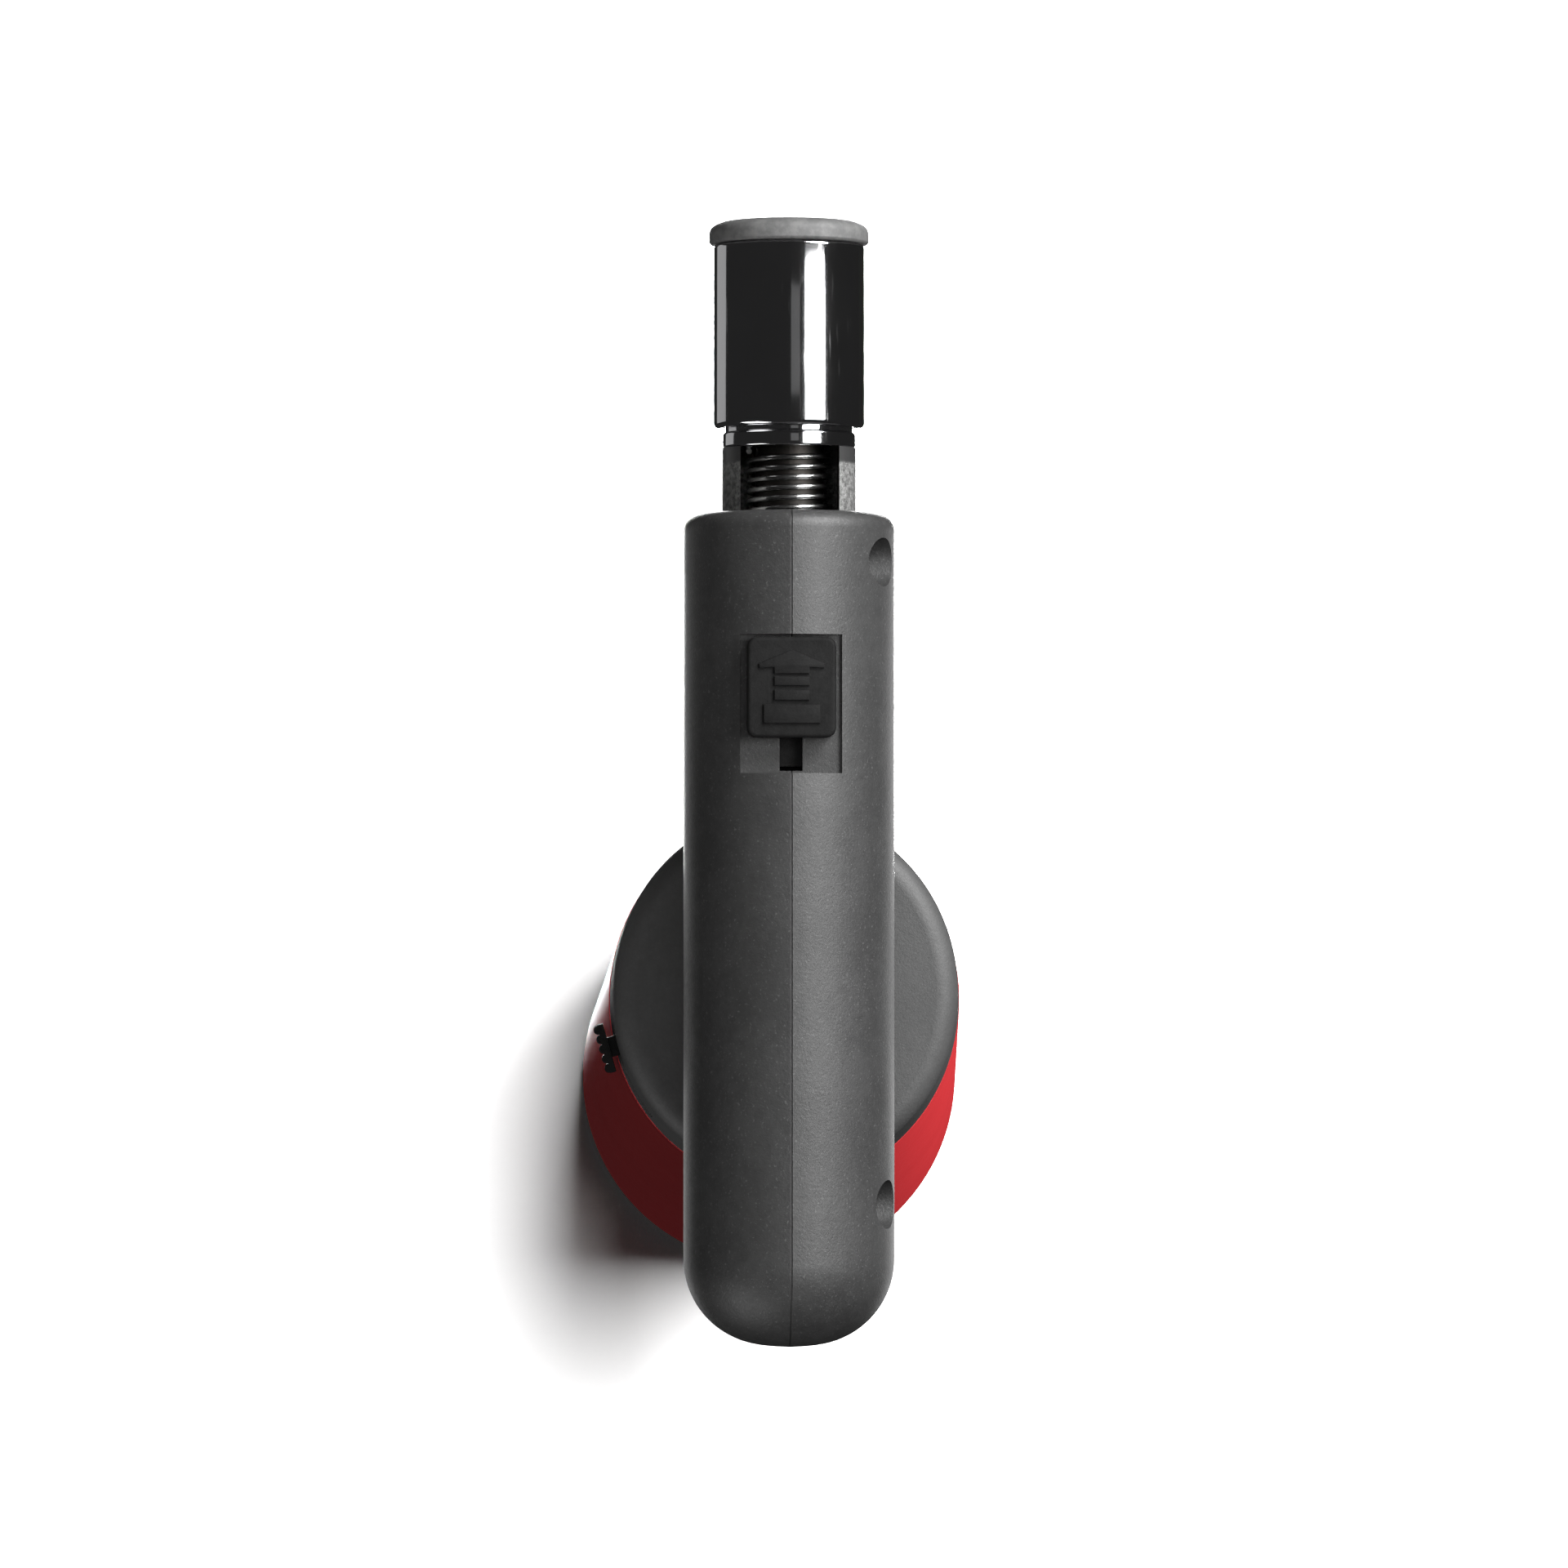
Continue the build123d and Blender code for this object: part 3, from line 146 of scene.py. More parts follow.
# %% A finish and its patterns
class Finish:
    """One material under construction: its shader, its coordinates and its patterns."""

    def __init__(self, name, **constants):
        self.material = bpy.data.materials.new(name)
        self.material.use_nodes = True
        self.tree = self.material.node_tree
        self.shader = self.tree.nodes["Principled BSDF"]
        for socket, value in constants.items():
            title = socket.replace("_", " ").title().replace("Ior", "IOR")
            self.shader.inputs[title].default_value = value
        self.start = Wire(self.tree)
        self.place = self.start.node("TexCoord", output="Object")
        split = self.start.node("SeparateXYZ", inputs={0: self.place}, output="X")
        outputs = split.socket.node.outputs
        self.x, self.y, self.z = (Wire(self.tree, outputs[letter]) for letter in "XYZ")

    def noise(self, size_mm, detail=2.0, roughness=0.5, stretch=(1, 1, 1)):
        """Cloudy noise with features about size_mm across."""
        place = self.place
        if stretch != (1, 1, 1):
            place = self.start.node("Mapping", inputs={"Vector": place, "Scale": stretch})
        settings = {"Vector": place, "Scale": 1000 / size_mm, "Detail": detail, "Roughness": roughness}
        return self.start.node("TexNoise", inputs=settings)

    def cells(self, size_mm):
        """Distance to the nearest of scattered points about size_mm apart."""
        return self.start.node("TexVoronoi", inputs={"Vector": self.place, "Scale": 1000 / size_mm})

    def mix(self, mask, first, second):
        """The first colour where the mask is 0 and the second where it is 1."""
        colours = [c if isinstance(c, Wire) else (*c, 1.0) for c in (first, second)]
        settings = {0: mask, 6: colours[0], 7: colours[1]}
        return self.start.node("Mix", {"data_type": "RGBA"}, settings, output=2)

    def feed(self, socket, value):
        """Connects a varying value to one of the shader's sockets."""
        self.tree.links.new(value.socket, self.shader.inputs[socket])

    def bumps(self, *layers):
        """Stacks bump layers, each a height from 0 to 1 and its depth in millimetres."""
        normal = None
        for height, depth_mm in layers:
            settings = {"Height": height, "Distance": depth_mm * MM, "Strength": 1.0}
            if normal is not None:
                settings["Normal"] = normal
            normal = self.start.node("Bump", inputs=settings)
        self.feed("Normal", normal)


print("patterns are measured in millimetres")

# %% [markdown]
# ## Moulded plastics
# The head and the collar are glass-filled nylon. Its surface has a fine spark-eroded grain, and
# glass fibres near the surface leave pale specks and faint swirls. The colour hardly changes,
# so most of the character comes from roughness and a very shallow bump.


# %% Moulded nylon
def moulded(name, dark, light, roughness, speck=0.0, seam_groove_shaded=False, gloss=0.42):
    """A matte moulding between two greys, with grain, pale specks and an optional middle seam: a groove
    in the bump with painted shade along it.
    """
    finish = Finish(name, specular_ior_level=gloss)
    cloud = finish.noise(9.0, 3.0)
    grain = finish.noise(0.35, 3.0, 0.65)
    swirl = finish.noise(1.4, 4.0, 0.7)
    tone = (cloud * 0.5 + swirl * 0.5).span(0.36, 0.64)
    colour = finish.mix(tone, dark, light)
    layers = [(swirl, 0.03), (grain, 0.035)]
    if speck:
        dots = finish.noise(0.3, 1.0, 0.4).span(0.64, 0.76)
        colour = finish.mix(dots * speck, colour, (0.2, 0.2, 0.2))
    if seam_groove_shaded:
        # Painted shade: a thin dark line along the middle seam stands in for the shade in the groove
        # between the halves. The same mask cuts the groove into the bump.
        groove_and_shade = abs(finish.y).span(0.00004, 0.00016, 1.0, 0.0)
        colour = finish.mix(groove_and_shade * 0.85, colour, (0.008, 0.008, 0.008))
        layers.append((1 - groove_and_shade, 0.12))
    finish.feed("Base Color", colour)
    finish.feed("Roughness", roughness + (grain - 0.5) * 0.2)
    finish.bumps(*layers)
    return finish.material


finishes = {
    "housing": moulded("head_nylon", (0.02, 0.02, 0.02), (0.027, 0.027, 0.027), 0.5, 0.14, True, 0.38),
    "collar": moulded("collar_nylon", (0.036, 0.036, 0.036), (0.042, 0.042, 0.042), 0.6, 0.04),
    "black": moulded("black_acetal", (0.005, 0.005, 0.005), (0.008, 0.008, 0.008), 0.66, gloss=0.08),
    "piezo": moulded("piezo_case", (0.04, 0.04, 0.044), (0.055, 0.055, 0.06), 0.45),
}
print("mouldings:", sorted(finishes))


# %% [markdown]
# The fuel tank inside is natural nylon, milky and faintly yellow, and the seals are black
# rubber. Both are hidden when the torch is closed, but they show when it is taken apart.


# %% Nylon and rubber
def natural_nylon():
    """Milky nylon, cloudier where it is thick."""
    finish = Finish("natural_nylon", subsurface_weight=0.15, subsurface_scale=0.004)
    cloud = finish.noise(12.0, 3.0)
    finish.feed("Base Color", finish.mix(cloud, (0.72, 0.7, 0.62), (0.83, 0.82, 0.77)))
    finish.feed("Roughness", 0.35 + cloud * 0.15)
    finish.bumps((finish.noise(0.8, 3.0), 0.02))
    return finish.material


def rubber(name, dark, light):
    """Dull rubber with a dusty bloom."""
    finish = Finish(name, specular_ior_level=0.35)
    bloom = finish.noise(3.0, 4.0, 0.6)
    finish.feed("Base Color", finish.mix(bloom.span(0.4, 0.7), dark, light))
    finish.feed("Roughness", 0.62 + bloom * 0.25)
    finish.bumps((finish.noise(0.3, 2.0), 0.02))
    return finish.material


finishes["tank"] = natural_nylon()
finishes["seal"] = rubber("seal_rubber", (0.018, 0.018, 0.018), (0.04, 0.04, 0.039))
finishes["lead"] = rubber("lead_insulation", (0.012, 0.012, 0.013), (0.03, 0.03, 0.032))
print("soft plastics:", "tank, seal, lead")


# %% [markdown]
# ## Red paint
# The tank's shell is pressed metal with a soft satin coat. Sprayed paint levels out into a very
# shallow orange peel, and a thin clear coat over the colour gives the broad sheen.


# %% Satin red
def red_paint():
    """Satin red with orange peel and a clear coat."""
    finish = Finish("satin_red", specular_ior_level=0.2, coat_roughness=0.28)
    peel = finish.noise(0.9, 2.0)
    cloud = finish.noise(18.0, 2.0)
    finish.feed("Base Color", finish.mix(cloud, (0.5, 0.022, 0.028), (0.58, 0.03, 0.036)))
    finish.feed("Roughness", 0.42 + peel * 0.12)
    finish.feed("Coat Weight", 0.02 + cloud * 0.04)
    finish.bumps((peel, 0.012))
    return finish.material


finishes["shell"] = red_paint()
print("paint: satin red")


# %% [markdown]
# ## Metals
# Chrome plate is almost a mirror, so it is dark where the room is dark, and only its lights show
# as clean strips. The burner's arms are cast and left rough, except for their front ends, which
# are smoother and darker. Brass fittings are turned, and wire keeps the fine lines of its drawing.


# %% Plated, cast and turned metal
def plate():
    """Bright chrome with faint haze and hairline scratches along the barrel."""
    finish = Finish("chrome_plate", metallic=1.0)
    haze = finish.noise(6.0, 3.0)
    hairline = finish.noise(0.5, 2.0, 0.5, (0.08, 1, 1))
    finish.feed("Base Color", finish.mix(haze, (0.6, 0.6, 0.61), (0.68, 0.68, 0.69)))
    finish.feed("Roughness", 0.05 + haze * 0.05 + hairline.span(0.6, 0.75) * 0.08)
    finish.bumps((hairline, 0.002))
    return finish.material


def fired_lip():
    """The burner's front ring, matte grey from the heat of the flame."""
    finish = Finish("fired_ring", specular_ior_level=0.4)
    scale = finish.noise(1.6, 4.0, 0.65)
    grain = finish.noise(0.3, 3.0, 0.6)
    tone = scale.span(0.35, 0.65)
    finish.feed("Base Color", finish.mix(tone, (0.068, 0.068, 0.068), (0.095, 0.095, 0.094)))
    finish.feed("Roughness", 0.55 + grain * 0.2)
    finish.bumps((scale, 0.02), (grain, 0.02))
    return finish.material


def cast_arms():
    """Rough zinc casting whose front ends are smoother and darker."""
    finish = Finish("cast_zinc", metallic=0.75)
    rough = finish.noise(0.7, 5.0, 0.75)
    pits = finish.cells(0.5).span(0.05, 0.35)
    # The mask below makes the arms' front ends smoother, less bumpy and darker than the casting.
    smooth_dark_front = finish.x.span(neck_low.x - 0.0024, neck_low.x - 0.0018)
    cast = finish.mix(rough.span(0.35, 0.65), (0.1, 0.1, 0.098), (0.3, 0.3, 0.295))
    finish.feed("Base Color", finish.mix(smooth_dark_front, cast, (0.08, 0.08, 0.08)))
    finish.feed("Roughness", 0.62 - smooth_dark_front * 0.2)
    texture = (rough * 0.7 + pits * 0.3) * (1 - smooth_dark_front)
    finish.bumps((texture, 0.16))
    return finish.material


def bare_metal(name, dark, light, roughness, mark_mm, depth_mm, stretch=(1, 1, 1)):
    """Uncoated metal with marks of its making, drawn out along one direction."""
    finish = Finish(name, metallic=1.0)
    marks = finish.noise(mark_mm, 3.0, 0.6, stretch)
    cloud = finish.noise(5.0, 3.0)
    finish.feed("Base Color", finish.mix(cloud, dark, light))
    finish.feed("Roughness", roughness + marks * 0.15)
    finish.bumps((marks, depth_mm))
    return finish.material


finishes["chrome"] = plate()
finishes["lip"] = fired_lip()
finishes["cast"] = cast_arms()
finishes["spring"] = bare_metal(
    "spring_wire", (0.3, 0.3, 0.3), (0.42, 0.42, 0.41), 0.16, mark_mm=0.25, depth_mm=0.003
)
finishes["steel"] = bare_metal(
    "plain_steel", (0.42, 0.42, 0.41), (0.55, 0.55, 0.54), 0.3, mark_mm=0.3, depth_mm=0.006
)
finishes["blackened"] = bare_metal(
    "blackened_brass", (0.02, 0.02, 0.02), (0.05, 0.045, 0.04), 0.45, mark_mm=0.4, depth_mm=0.01
)
finishes["brass"] = bare_metal(
    "turned_brass", (0.62, 0.44, 0.18), (0.75, 0.56, 0.26), 0.28, 0.3, 0.006, stretch=(1, 0.2, 1)
)
print("metals:", "chrome, lip, cast, spring, steel, blackened, brass")


# %% [markdown]
# ## Ceramic
# The spark's wire runs to the burner inside a small tube of white alumina. Its glaze is a thin
# clear coat over a nearly even white, so the coat's weight is what varies.


# %% Glazed ceramic
def glaze():
    """White alumina with a faint warm cloud."""
    finish = Finish("white_alumina", coat_roughness=0.1)
    cloud = finish.noise(3.0, 3.0)
    finish.feed("Base Color", finish.mix(cloud, (0.8, 0.78, 0.72), (0.88, 0.87, 0.84)))
    finish.feed("Roughness", 0.3 + cloud * 0.15)
    finish.feed("Coat Weight", 0.3 + cloud * 0.2)
    finish.bumps((finish.noise(0.4, 2.0), 0.008))
    return finish.material


finishes["ceramic"] = glaze()
print(len(finishes), "finishes")

# %% [markdown]
# ## Finishing the CAD pieces
# Each CAD node names a material slot in its record, so each gets the finish of that slot. The
# meshes themselves are left exactly as they came.

# %% Give every CAD piece its finish
slot_of = {entry["node"]: entry["material_slot"] for entry in frame["record"]["subparts"]}
for name, piece in nodes.items():
    piece.data.materials.clear()
    piece.data.materials.append(finishes[slot_of[name]])
print("finished", len(slot_of), "pieces")


# %% [markdown]
# ## Making new pieces
# A few visible pieces need more detail than the CAD holds: the igniter's button with its raised
# arrow, for one. They are made with bmesh operators. The last step is always the same: merge
# doubles, turn the faces outwards, keep sharp edges sharp, and hang the piece on its body.


# %% Finish a mesh as a piece
def make_piece(name, shape, body, slot):
    """Turns a bmesh into a piece that moves with a body and takes a slot's finish."""
    bmesh.ops.remove_doubles(shape, verts=shape.verts, dist=1e-7)
    bmesh.ops.recalc_face_normals(shape, faces=shape.faces)
    mesh = bpy.data.meshes.new(name)
    shape.to_mesh(mesh)
    shape.free()
    mesh.shade_smooth()
    mesh.set_sharp_from_angle(angle=radians(35))
    piece = bpy.data.objects.new(name, mesh)
    bpy.context.collection.objects.link(piece)
    piece.data.materials.append(finishes[slot])
    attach(piece, body)
    print(name, len(mesh.polygons), "faces")
    return piece


def raise_outline(shape, outline, low, high, edge, steps=2):
    """Extrudes a flat outline from one height to another and rounds its upper edges."""
    corners = [shape.verts.new((x, y, low)) for x, y in outline]
    floor = shape.faces.new(corners)
    floor.normal_update()
    lifted = bmesh.ops.extrude_face_region(shape, geom=[floor], use_keep_orig=True)
    top = [item for item in lifted["geom"] if isinstance(item, bmesh.types.BMVert)]
    bmesh.ops.translate(shape, verts=top, vec=(0, 0, high - low))
    rim = [e for e in shape.edges if all(v in top for v in e.verts)]
    bmesh.ops.bevel(
        shape, geom=rim, offset=edge, segments=steps, profile=0.5, affect="EDGES", material=-1
    )


def rounded_outline(front, rear, half, corner, steps=6):
    """A rectangle's outline with rounded corners, as x and y pairs."""
    centres = (
        (front - corner, half - corner, 0), (rear + corner, half - corner, 90),
        (rear + corner, corner - half, 180), (front - corner, corner - half, 270),
    )
    outline = []
    for x, y, start in centres:
        for step in range(steps + 1):
            turn = radians(start + 90 * step / steps)
            outline.append((x + corner * cos(turn), y + corner * sin(turn)))
    return outline


print("piece makers ready")

# %% [markdown]
# ## Turned pieces
# The barrel, the neck ring and the front ring are turned on a lathe, so each is one profile spun
# about the head's axis. Plating shows every facet, so the spin has many steps. Each corner of
# the profile has its own rounding, because a rolled edge catches a soft light and a sharp one
# gives a hard line.


# %% Spin a profile about the head's axis
def turn_profile(profile, steps=128):
    """Spins closed corners of x, radius and rounding, all in millimetres, into a ring."""
    shape = bmesh.new()
    corners = [shape.verts.new((x * MM, 0, axis_z + r * MM)) for x, r, _ in profile]
    sides = [shape.edges.new((a, b)) for a, b in zip(corners, corners[1:] + corners[:1])]
    bmesh.ops.spin(
        shape, geom=corners + sides, cent=(0, 0, axis_z), axis=(1, 0, 0),
        angle=2 * pi, steps=steps, use_merge=True,
    )
    bmesh.ops.remove_doubles(shape, verts=shape.verts, dist=1e-6)
    bmesh.ops.recalc_face_normals(shape, faces=shape.faces)
    for x, r, rounding in profile:
        if rounding:
            ring = [e for e in shape.edges if all(on_ring(v, x, r) for v in e.verts)]
            bmesh.ops.bevel(
                shape, geom=ring, offset=rounding * MM, segments=5, profile=0.5,
                affect="EDGES", material=-1, clamp_overlap=True,
            )
    return shape


def on_ring(vertex, x, r):
    """True if the vertex lies on the ring at this x and radius, in millimetres."""
    reach = Vector((vertex.co.y, vertex.co.z - axis_z)).length
    return abs(vertex.co.x - x * MM) < 1e-5 and abs(reach - r * MM) < 1e-5


barrel_r = tube_radius / MM
barrel_rear = tube_low.x / MM
barrel_front = tube_high.x / MM
print("barrel", round(barrel_rear, 2), "to", round(barrel_front, 2), "mm")

# %% Turn the barrel
bore_r = 4.56
inside_r = barrel_r - 0.7
barrel_profile = [
    (barrel_rear, bore_r, 0), (barrel_rear, barrel_r, 0.7),
    (barrel_front, barrel_r, 0.55), (barrel_front, inside_r, 0),
    (barrel_rear + 1.2, inside_r, 0), (barrel_rear + 1.2, bore_r, 0),
]
barrel = make_piece("burner_barrel", turn_profile(barrel_profile), "torch", "chrome")
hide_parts("burner_tube")

# %% Turn the neck ring
neck_rear = neck_low.x / MM
neck_r = (neck_high.z - neck_low.z) / 2 / MM
neck_profile = [
    (neck_rear, bore_r, 0), (neck_rear, neck_r, 0.3),
    (neck_rear + 2.0, neck_r, 0.35), (neck_rear + 2.05, neck_r - 0.4, 0.1),
    (barrel_rear, neck_r - 0.4, 0), (barrel_rear, bore_r, 0),
]
neck = make_piece("neck_ring", turn_profile(neck_profile), "torch", "chrome")
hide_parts("burner_neck")

# %% Turn the front ring
lip_rear = lip_low.x / MM
lip_front = lip_high.x / MM
lip_r = (lip_high.z - lip_low.z) / 2 / MM
mouth_r = 8.2
sleeve_r = 9.3
lip_profile = [
    (lip_rear, mouth_r, 0.1), (lip_rear, sleeve_r, 0.1),
    (barrel_front + 0.05, sleeve_r, 0), (barrel_front + 0.05, lip_r - 0.25, 0.1),
    (barrel_front + 0.35, lip_r, 0.1), (lip_front - 0.95, lip_r, 0.6),
    (lip_front - 0.4, lip_r - 0.75, 0.3), (lip_front, 8.75, 0.25),
    (lip_front - 0.15, mouth_r, 0.1),
]
lip = make_piece("front_ring", turn_profile(lip_profile), "torch", "lip")
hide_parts("burner_lip")

# %% [markdown]
# ## Housing screws
# Four self-tapping screws go in from the right and pull the halves together. Each is a spun
# profile about its own axis. The star socket starts as the ring in the middle of the head: its
# points are drawn in and out six times round, and the ring is pushed down and closed.


# %% Build the screws
screw_places = ((72.8, 147.0), (-11.6, 145.7), (57.0, 133.0), (-14.0, 133.0))
head_face = -8.9
socket_depth = 1.3
screw_profile = (
    (6.0, 0.35), (5.0, 1.3), (-7.0, 1.3), (-7.0, 2.6), (-8.45, 2.6), (-8.8, 2.25), (head_face, 1.45),
)


def add_screw(shape, x, z, steps=48):
    """Adds one screw along Y at this place: a tapered shank, a low head and a star socket."""
    line = [shape.verts.new((x * MM, y * MM, (z + r) * MM)) for y, r in screw_profile]
    sides = [shape.edges.new(pair) for pair in zip(line, line[1:])]
    bmesh.ops.spin(
        shape, geom=line + sides, cent=(x * MM, 0, z * MM), axis=(0, 1, 0),
        angle=2 * pi, steps=steps, use_merge=True,
    )
    bmesh.ops.remove_doubles(shape, verts=shape.verts, dist=1e-6)
    middle = Vector((x, head_face, z)) * MM
    open_edges = [e for e in shape.edges if e.is_boundary]
    near = [e for e in open_edges if (e.verts[0].co - middle).length < 0.002]
    sunk = bmesh.ops.extrude_edge_only(shape, edges=near)
    low_ring = [item for item in sunk["geom"] if isinstance(item, bmesh.types.BMVert)]
    bmesh.ops.translate(shape, verts=low_ring, vec=(0, socket_depth * MM, 0))
    for vertex in low_ring + list({v for e in near for v in e.verts}):
        arm = Vector((vertex.co.x - x * MM, 0, vertex.co.z - z * MM))
        lobe = 1 + 0.16 * cos(6 * arm.xz.angle_signed(Vector((1, 0)), 0.0))
        vertex.co += arm * (lobe * 0.82 - 1)
    loose = [e for e in shape.edges if e.is_boundary]
    bmesh.ops.holes_fill(shape, edges=loose, sides=0)


screw_mesh = bmesh.new()
for place in screw_places:
    add_screw(screw_mesh, *place)
screws = make_piece("star_screws", screw_mesh, "torch", "steel")
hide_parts("housing_screws")

# %% [markdown]
# ## The igniter's button
# The button is a flat pad with rounded corners, on a narrow stem that passes through the slot.
# A raised arrow points the way the flame goes: a broad head over a shaft cut into steps, and a
# plain plate at its foot. The pad is kept below the arrow, so that the arrow's top is the
# button's true height.

# %% Build the pad
relief = 0.00034
pad_top = button_high.z - relief
pad_outline = rounded_outline(button_high.x, button_low.x, button_high.y, 0.0013)
button_mesh = bmesh.new()
raise_outline(button_mesh, pad_outline, crest_z - 0.00275, pad_top, 0.0005, 4)
print("pad top", round(pad_top, 5))


# %% Raise the arrow and add the stem
def bar(front, rear, half):
    """The outline of a plain bar across the button, in millimetres from its front edge."""
    return (front, half), (rear, half), (rear, -half), (front, -half)


arrow_head = (
    (-1.75, 0.0), (-3.5, 4.3), (-4.1, 4.2), (-4.0, 2.3), (-4.85, 2.3),
    (-4.85, -2.3), (-4.0, -2.3), (-4.1, -4.2), (-3.5, -4.3),
)
arrow_parts = (arrow_head, bar(-5.15, -6.4, 2.3), bar(-6.9, -8.3, 2.3), bar(-8.8, -11.3, 3.7))
for part in arrow_parts:
    outline = [(button_high.x + x * MM, y * MM) for x, y in part]
    raise_outline(button_mesh, outline, pad_top - 0.0001, button_high.z, 0.00012)
stem_front = button_low.x + 0.0078
stem_rear = button_low.x + 0.0002
stem_half = 0.0014
stem_outline = [
    (stem_front, stem_half), (stem_rear, stem_half),
    (stem_rear, -stem_half), (stem_front, -stem_half),
]
raise_outline(button_mesh, stem_outline, button_low.z, crest_z - 0.0027, 0.0001)
button = make_piece("slide_button", button_mesh, "slider", "black")
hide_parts("ignition_slide")

# %% [markdown]
# ## Floor
# The torch stands on plain white paper. The sheet is round, with a small hole under the tank
# so that the filling socket can be seen from below. It lies a hair above the foot's underside,
# because two faces in the same place flicker. It is kept out of reflections and bounces, so
# that the chrome stays dark between its lights.

# %% Lay the floor
floor_radius = 0.55
filling_hole_radius = 0.018
lift_above_foot = 0.00005
floor_mesh = bmesh.new()
for radius in (floor_radius, filling_hole_radius):
    bmesh.ops.create_circle(floor_mesh, radius=radius, segments=96)
bmesh.ops.bridge_loops(floor_mesh, edges=floor_mesh.edges[:])
bmesh.ops.translate(floor_mesh, verts=floor_mesh.verts, vec=(0, 0, lift_above_foot))


def stage_object(name, shape, finish):
    """Turns a bmesh into something that stands around the torch but isn't part of it."""
    mesh = bpy.data.meshes.new(name)
    shape.to_mesh(mesh)
    shape.free()
    thing = bpy.data.objects.new(name, mesh)
    bpy.context.collection.objects.link(thing)
    thing.data.materials.append(finish.material)
    print(name, "staged")
    return thing


paper = Finish("white_paper", roughness=0.9, specular_ior_level=0.1)
fibre = paper.noise(1.2, 3.0)
paper.feed("Base Color", paper.mix(fibre, (0.93, 0.93, 0.93), (0.95, 0.95, 0.95)))
floor = stage_object("paper", floor_mesh, paper)
floor.visible_glossy = False
floor.visible_diffuse = False

# %% [markdown]
# ## Backdrop
# Seen from low down, the paper has an edge and the room behind it is dark. A white dome hides
# both. Only the camera sees it: it lights nothing and shows in no reflection.

# %% Raise the backdrop
dome_mesh = bmesh.new()
bmesh.ops.create_uvsphere(dome_mesh, u_segments=48, v_segments=24, radius=2.5)
black = (0, 0, 0, 1)
white = (1, 1, 1, 1)
glow = Finish("backdrop_white", base_color=black, emission_color=white, emission_strength=1.0)
dome = stage_object("backdrop", dome_mesh, glow)
for ray in ("diffuse", "glossy", "transmission", "volume_scatter", "shadow"):
    setattr(dome, "visible_" + ray, False)

# %% [markdown]
# ## Lights
# Soft boxes hang around the torch, each a rectangle that faces a point. The window on the
# right gives the plating its bright strip and leaves the left side in shade. None of them is
# seen by the camera.


# %% A soft box
def hang_light(name, place_mm, aim_mm, size_mm, watts):
    """A rectangular light at one point that faces another; its first side follows X."""
    lamp = bpy.data.lights.new(name, "AREA")
    lamp.shape = "RECTANGLE"
    lamp.size = size_mm[0] * MM
    lamp.size_y = size_mm[1] * MM
    lamp.energy = watts
    holder = bpy.data.objects.new(name, lamp)
    bpy.context.collection.objects.link(holder)
    place = Vector(place_mm) * MM
    back = (place - Vector(aim_mm) * MM).normalized()
    along = (Vector((1, 0, 0)) - back * back.x).normalized()
    across = back.cross(along)
    turn = Matrix((along, across, back)).transposed().to_4x4()
    holder.matrix_world = Matrix.Translation(place) @ turn
    holder.visible_camera = False
    print(name, watts, "W")
    return holder


# %% [markdown]
# A light can be linked to chosen objects, which is a way to correct one tone without moving
# the rest. The paper has a light of its own, so that it is white while the torch stays dark.
# The tank's shell is left out of the front box and the left fill, which would burn out the
# red, and has a small box of its own at its side.


# %% Groups for the lights
def light_group(name, members, excluded=False):
    """A group that lights can be linked to: only these objects, or all others."""
    group = bpy.data.collections.new(name)
    for member in members:
        group.objects.link(member)
    if excluded:
        for entry in group.collection_objects:
            entry.light_linking.link_state = "EXCLUDE"
    return group


shell = nodes["tank_shell"]
paper_only = light_group("paper_only", [floor])
shell_only = light_group("shell_only", [shell])
housing_only = light_group("housing_only", [nodes["housing_left"], nodes["housing_right"]])
all_but_paper = light_group("all_but_paper", [floor], excluded=True)
all_but_shell = light_group("all_but_shell", [floor, shell], excluded=True)
print("five light groups")

# %% Hang the lights
window = hang_light("right_window", (135, -560, 830), (135, 0, 140), (330, 480), 8.8)
front_box = hang_light("front_box", (640, -560, 620), (40, 0, 100), (420, 420), 23.0)
overhead = hang_light("overhead", (60, -120, 1400), (40, 0, 0), (700, 700), 6.0)
bounce = hang_light("paper_bounce", (0, 0, 1), (0, 0, 1000), (1200, 1200), 0.4)
left_top = hang_light("left_top", (20, 270, 1300), (20, 0, 60), (500, 500), 3.0)
left_fill = hang_light("left_fill", (-520, 460, 260), (0, 0, 100), (400, 400), 2.0)
paper_light = hang_light("paper_light", (440, -340, 1400), (20, 0, 0), (600, 600), 92.0)
hang_light("under_light", (300, 0, -1200), (0, 0, 0), (600, 600), 60.0)
side_box = hang_light("side_box", (20, -400, 160), (0, 0, 60), (250, 200), 1.6)
for lamp in (overhead, bounce, left_top):
    lamp.visible_glossy = False
for lamp in (window, overhead, bounce, left_top):
    lamp.light_linking.receiver_collection = all_but_paper
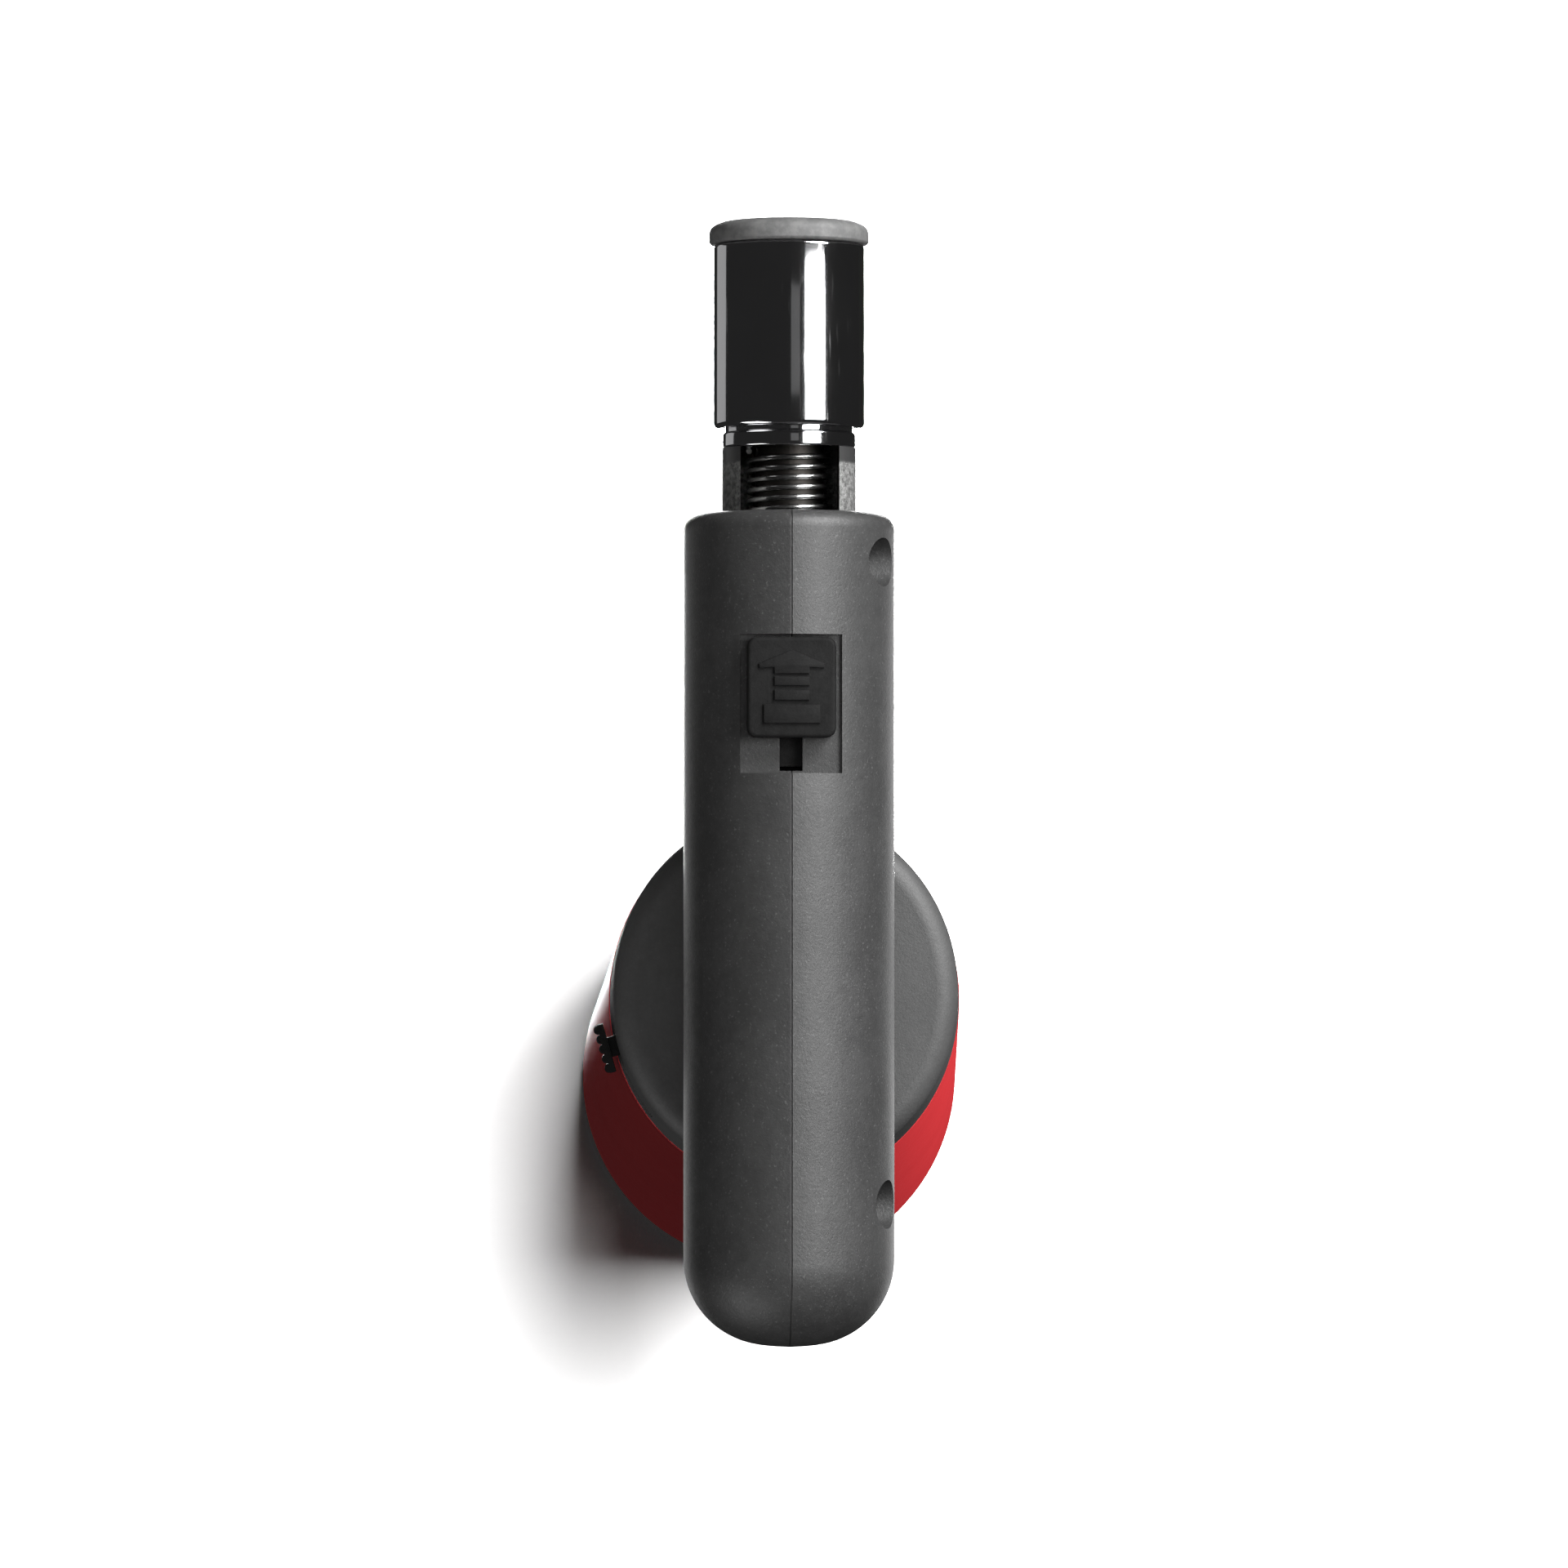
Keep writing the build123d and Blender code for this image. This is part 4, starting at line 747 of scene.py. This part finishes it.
for lamp in (front_box, left_fill):
    lamp.light_linking.receiver_collection = all_but_shell
paper_light.light_linking.receiver_collection = paper_only
side_box.light_linking.receiver_collection = shell_only

# %% [markdown]
# Chrome shows what stands around it. Pale cards that appear only in glossy surfaces give the
# barrel its narrow left strip and its soft grey band, and two more edge the head with a rim.


# %% Hang the cards
def hang_card(name, place_mm, size_mm, brightness):
    """A level card that shows only in glossy surfaces; a low card faces up, a high one down."""
    x, y, z = place_mm
    area = size_mm[0] * size_mm[1] * MM * MM
    level = 1000 if z < 500 else 0
    card = hang_light(name, place_mm, (x, y, level), size_mm, brightness * pi * area)
    card.visible_diffuse = False
    return card


hang_card("left_card", (128, 215, 12), (120, 210), 0.4)
hang_card("hood_card", (160, -150, 1100), (220, 230), 0.13)
left_rim = hang_card("left_rim_card", (10, 68, 12), (150, 56), 1.8)
right_rim = hang_card("right_rim_card", (10, -85, 12), (150, 75), 2.7)
for card in (left_rim, right_rim):
    card.light_linking.receiver_collection = housing_only

# %% Dim the room
world = bpy.data.worlds.new("studio")
world.use_nodes = True
room = world.node_tree.nodes["Background"]
room.inputs["Color"].default_value = (0.8, 0.8, 0.8, 1.0)
room.inputs["Strength"].default_value = 0.028
bpy.context.scene.world = world
bpy.context.scene.view_settings.view_transform = "Standard"
print("room light", 0.028)

# %% [markdown]
# ## The camera
# The camera looks almost straight down from about a metre, with the flame's direction up the
# picture. A long lens keeps the head and the tank in the right proportion to each other.

# %% Set the camera
lens = bpy.data.cameras.new("camera")
lens.lens = 156.25
lens.sensor_width = 36.0
lens.clip_start = 0.01
camera = bpy.data.objects.new("camera", lens)
bpy.context.collection.objects.link(camera)
eye = Vector((35.6, 20.2, 1040.0)) * MM
aim = Vector((43.7, 0.65, 140.0)) * MM
forward = (aim - eye).normalized()
right = forward.cross(Vector((1, 0, 0))).normalized()
upward = right.cross(forward)
camera.matrix_world = Matrix.Translation(eye) @ Matrix((right, upward, -forward)).transposed().to_4x4()
bpy.context.scene.camera = camera
print("camera at", [round(value, 3) for value in eye])
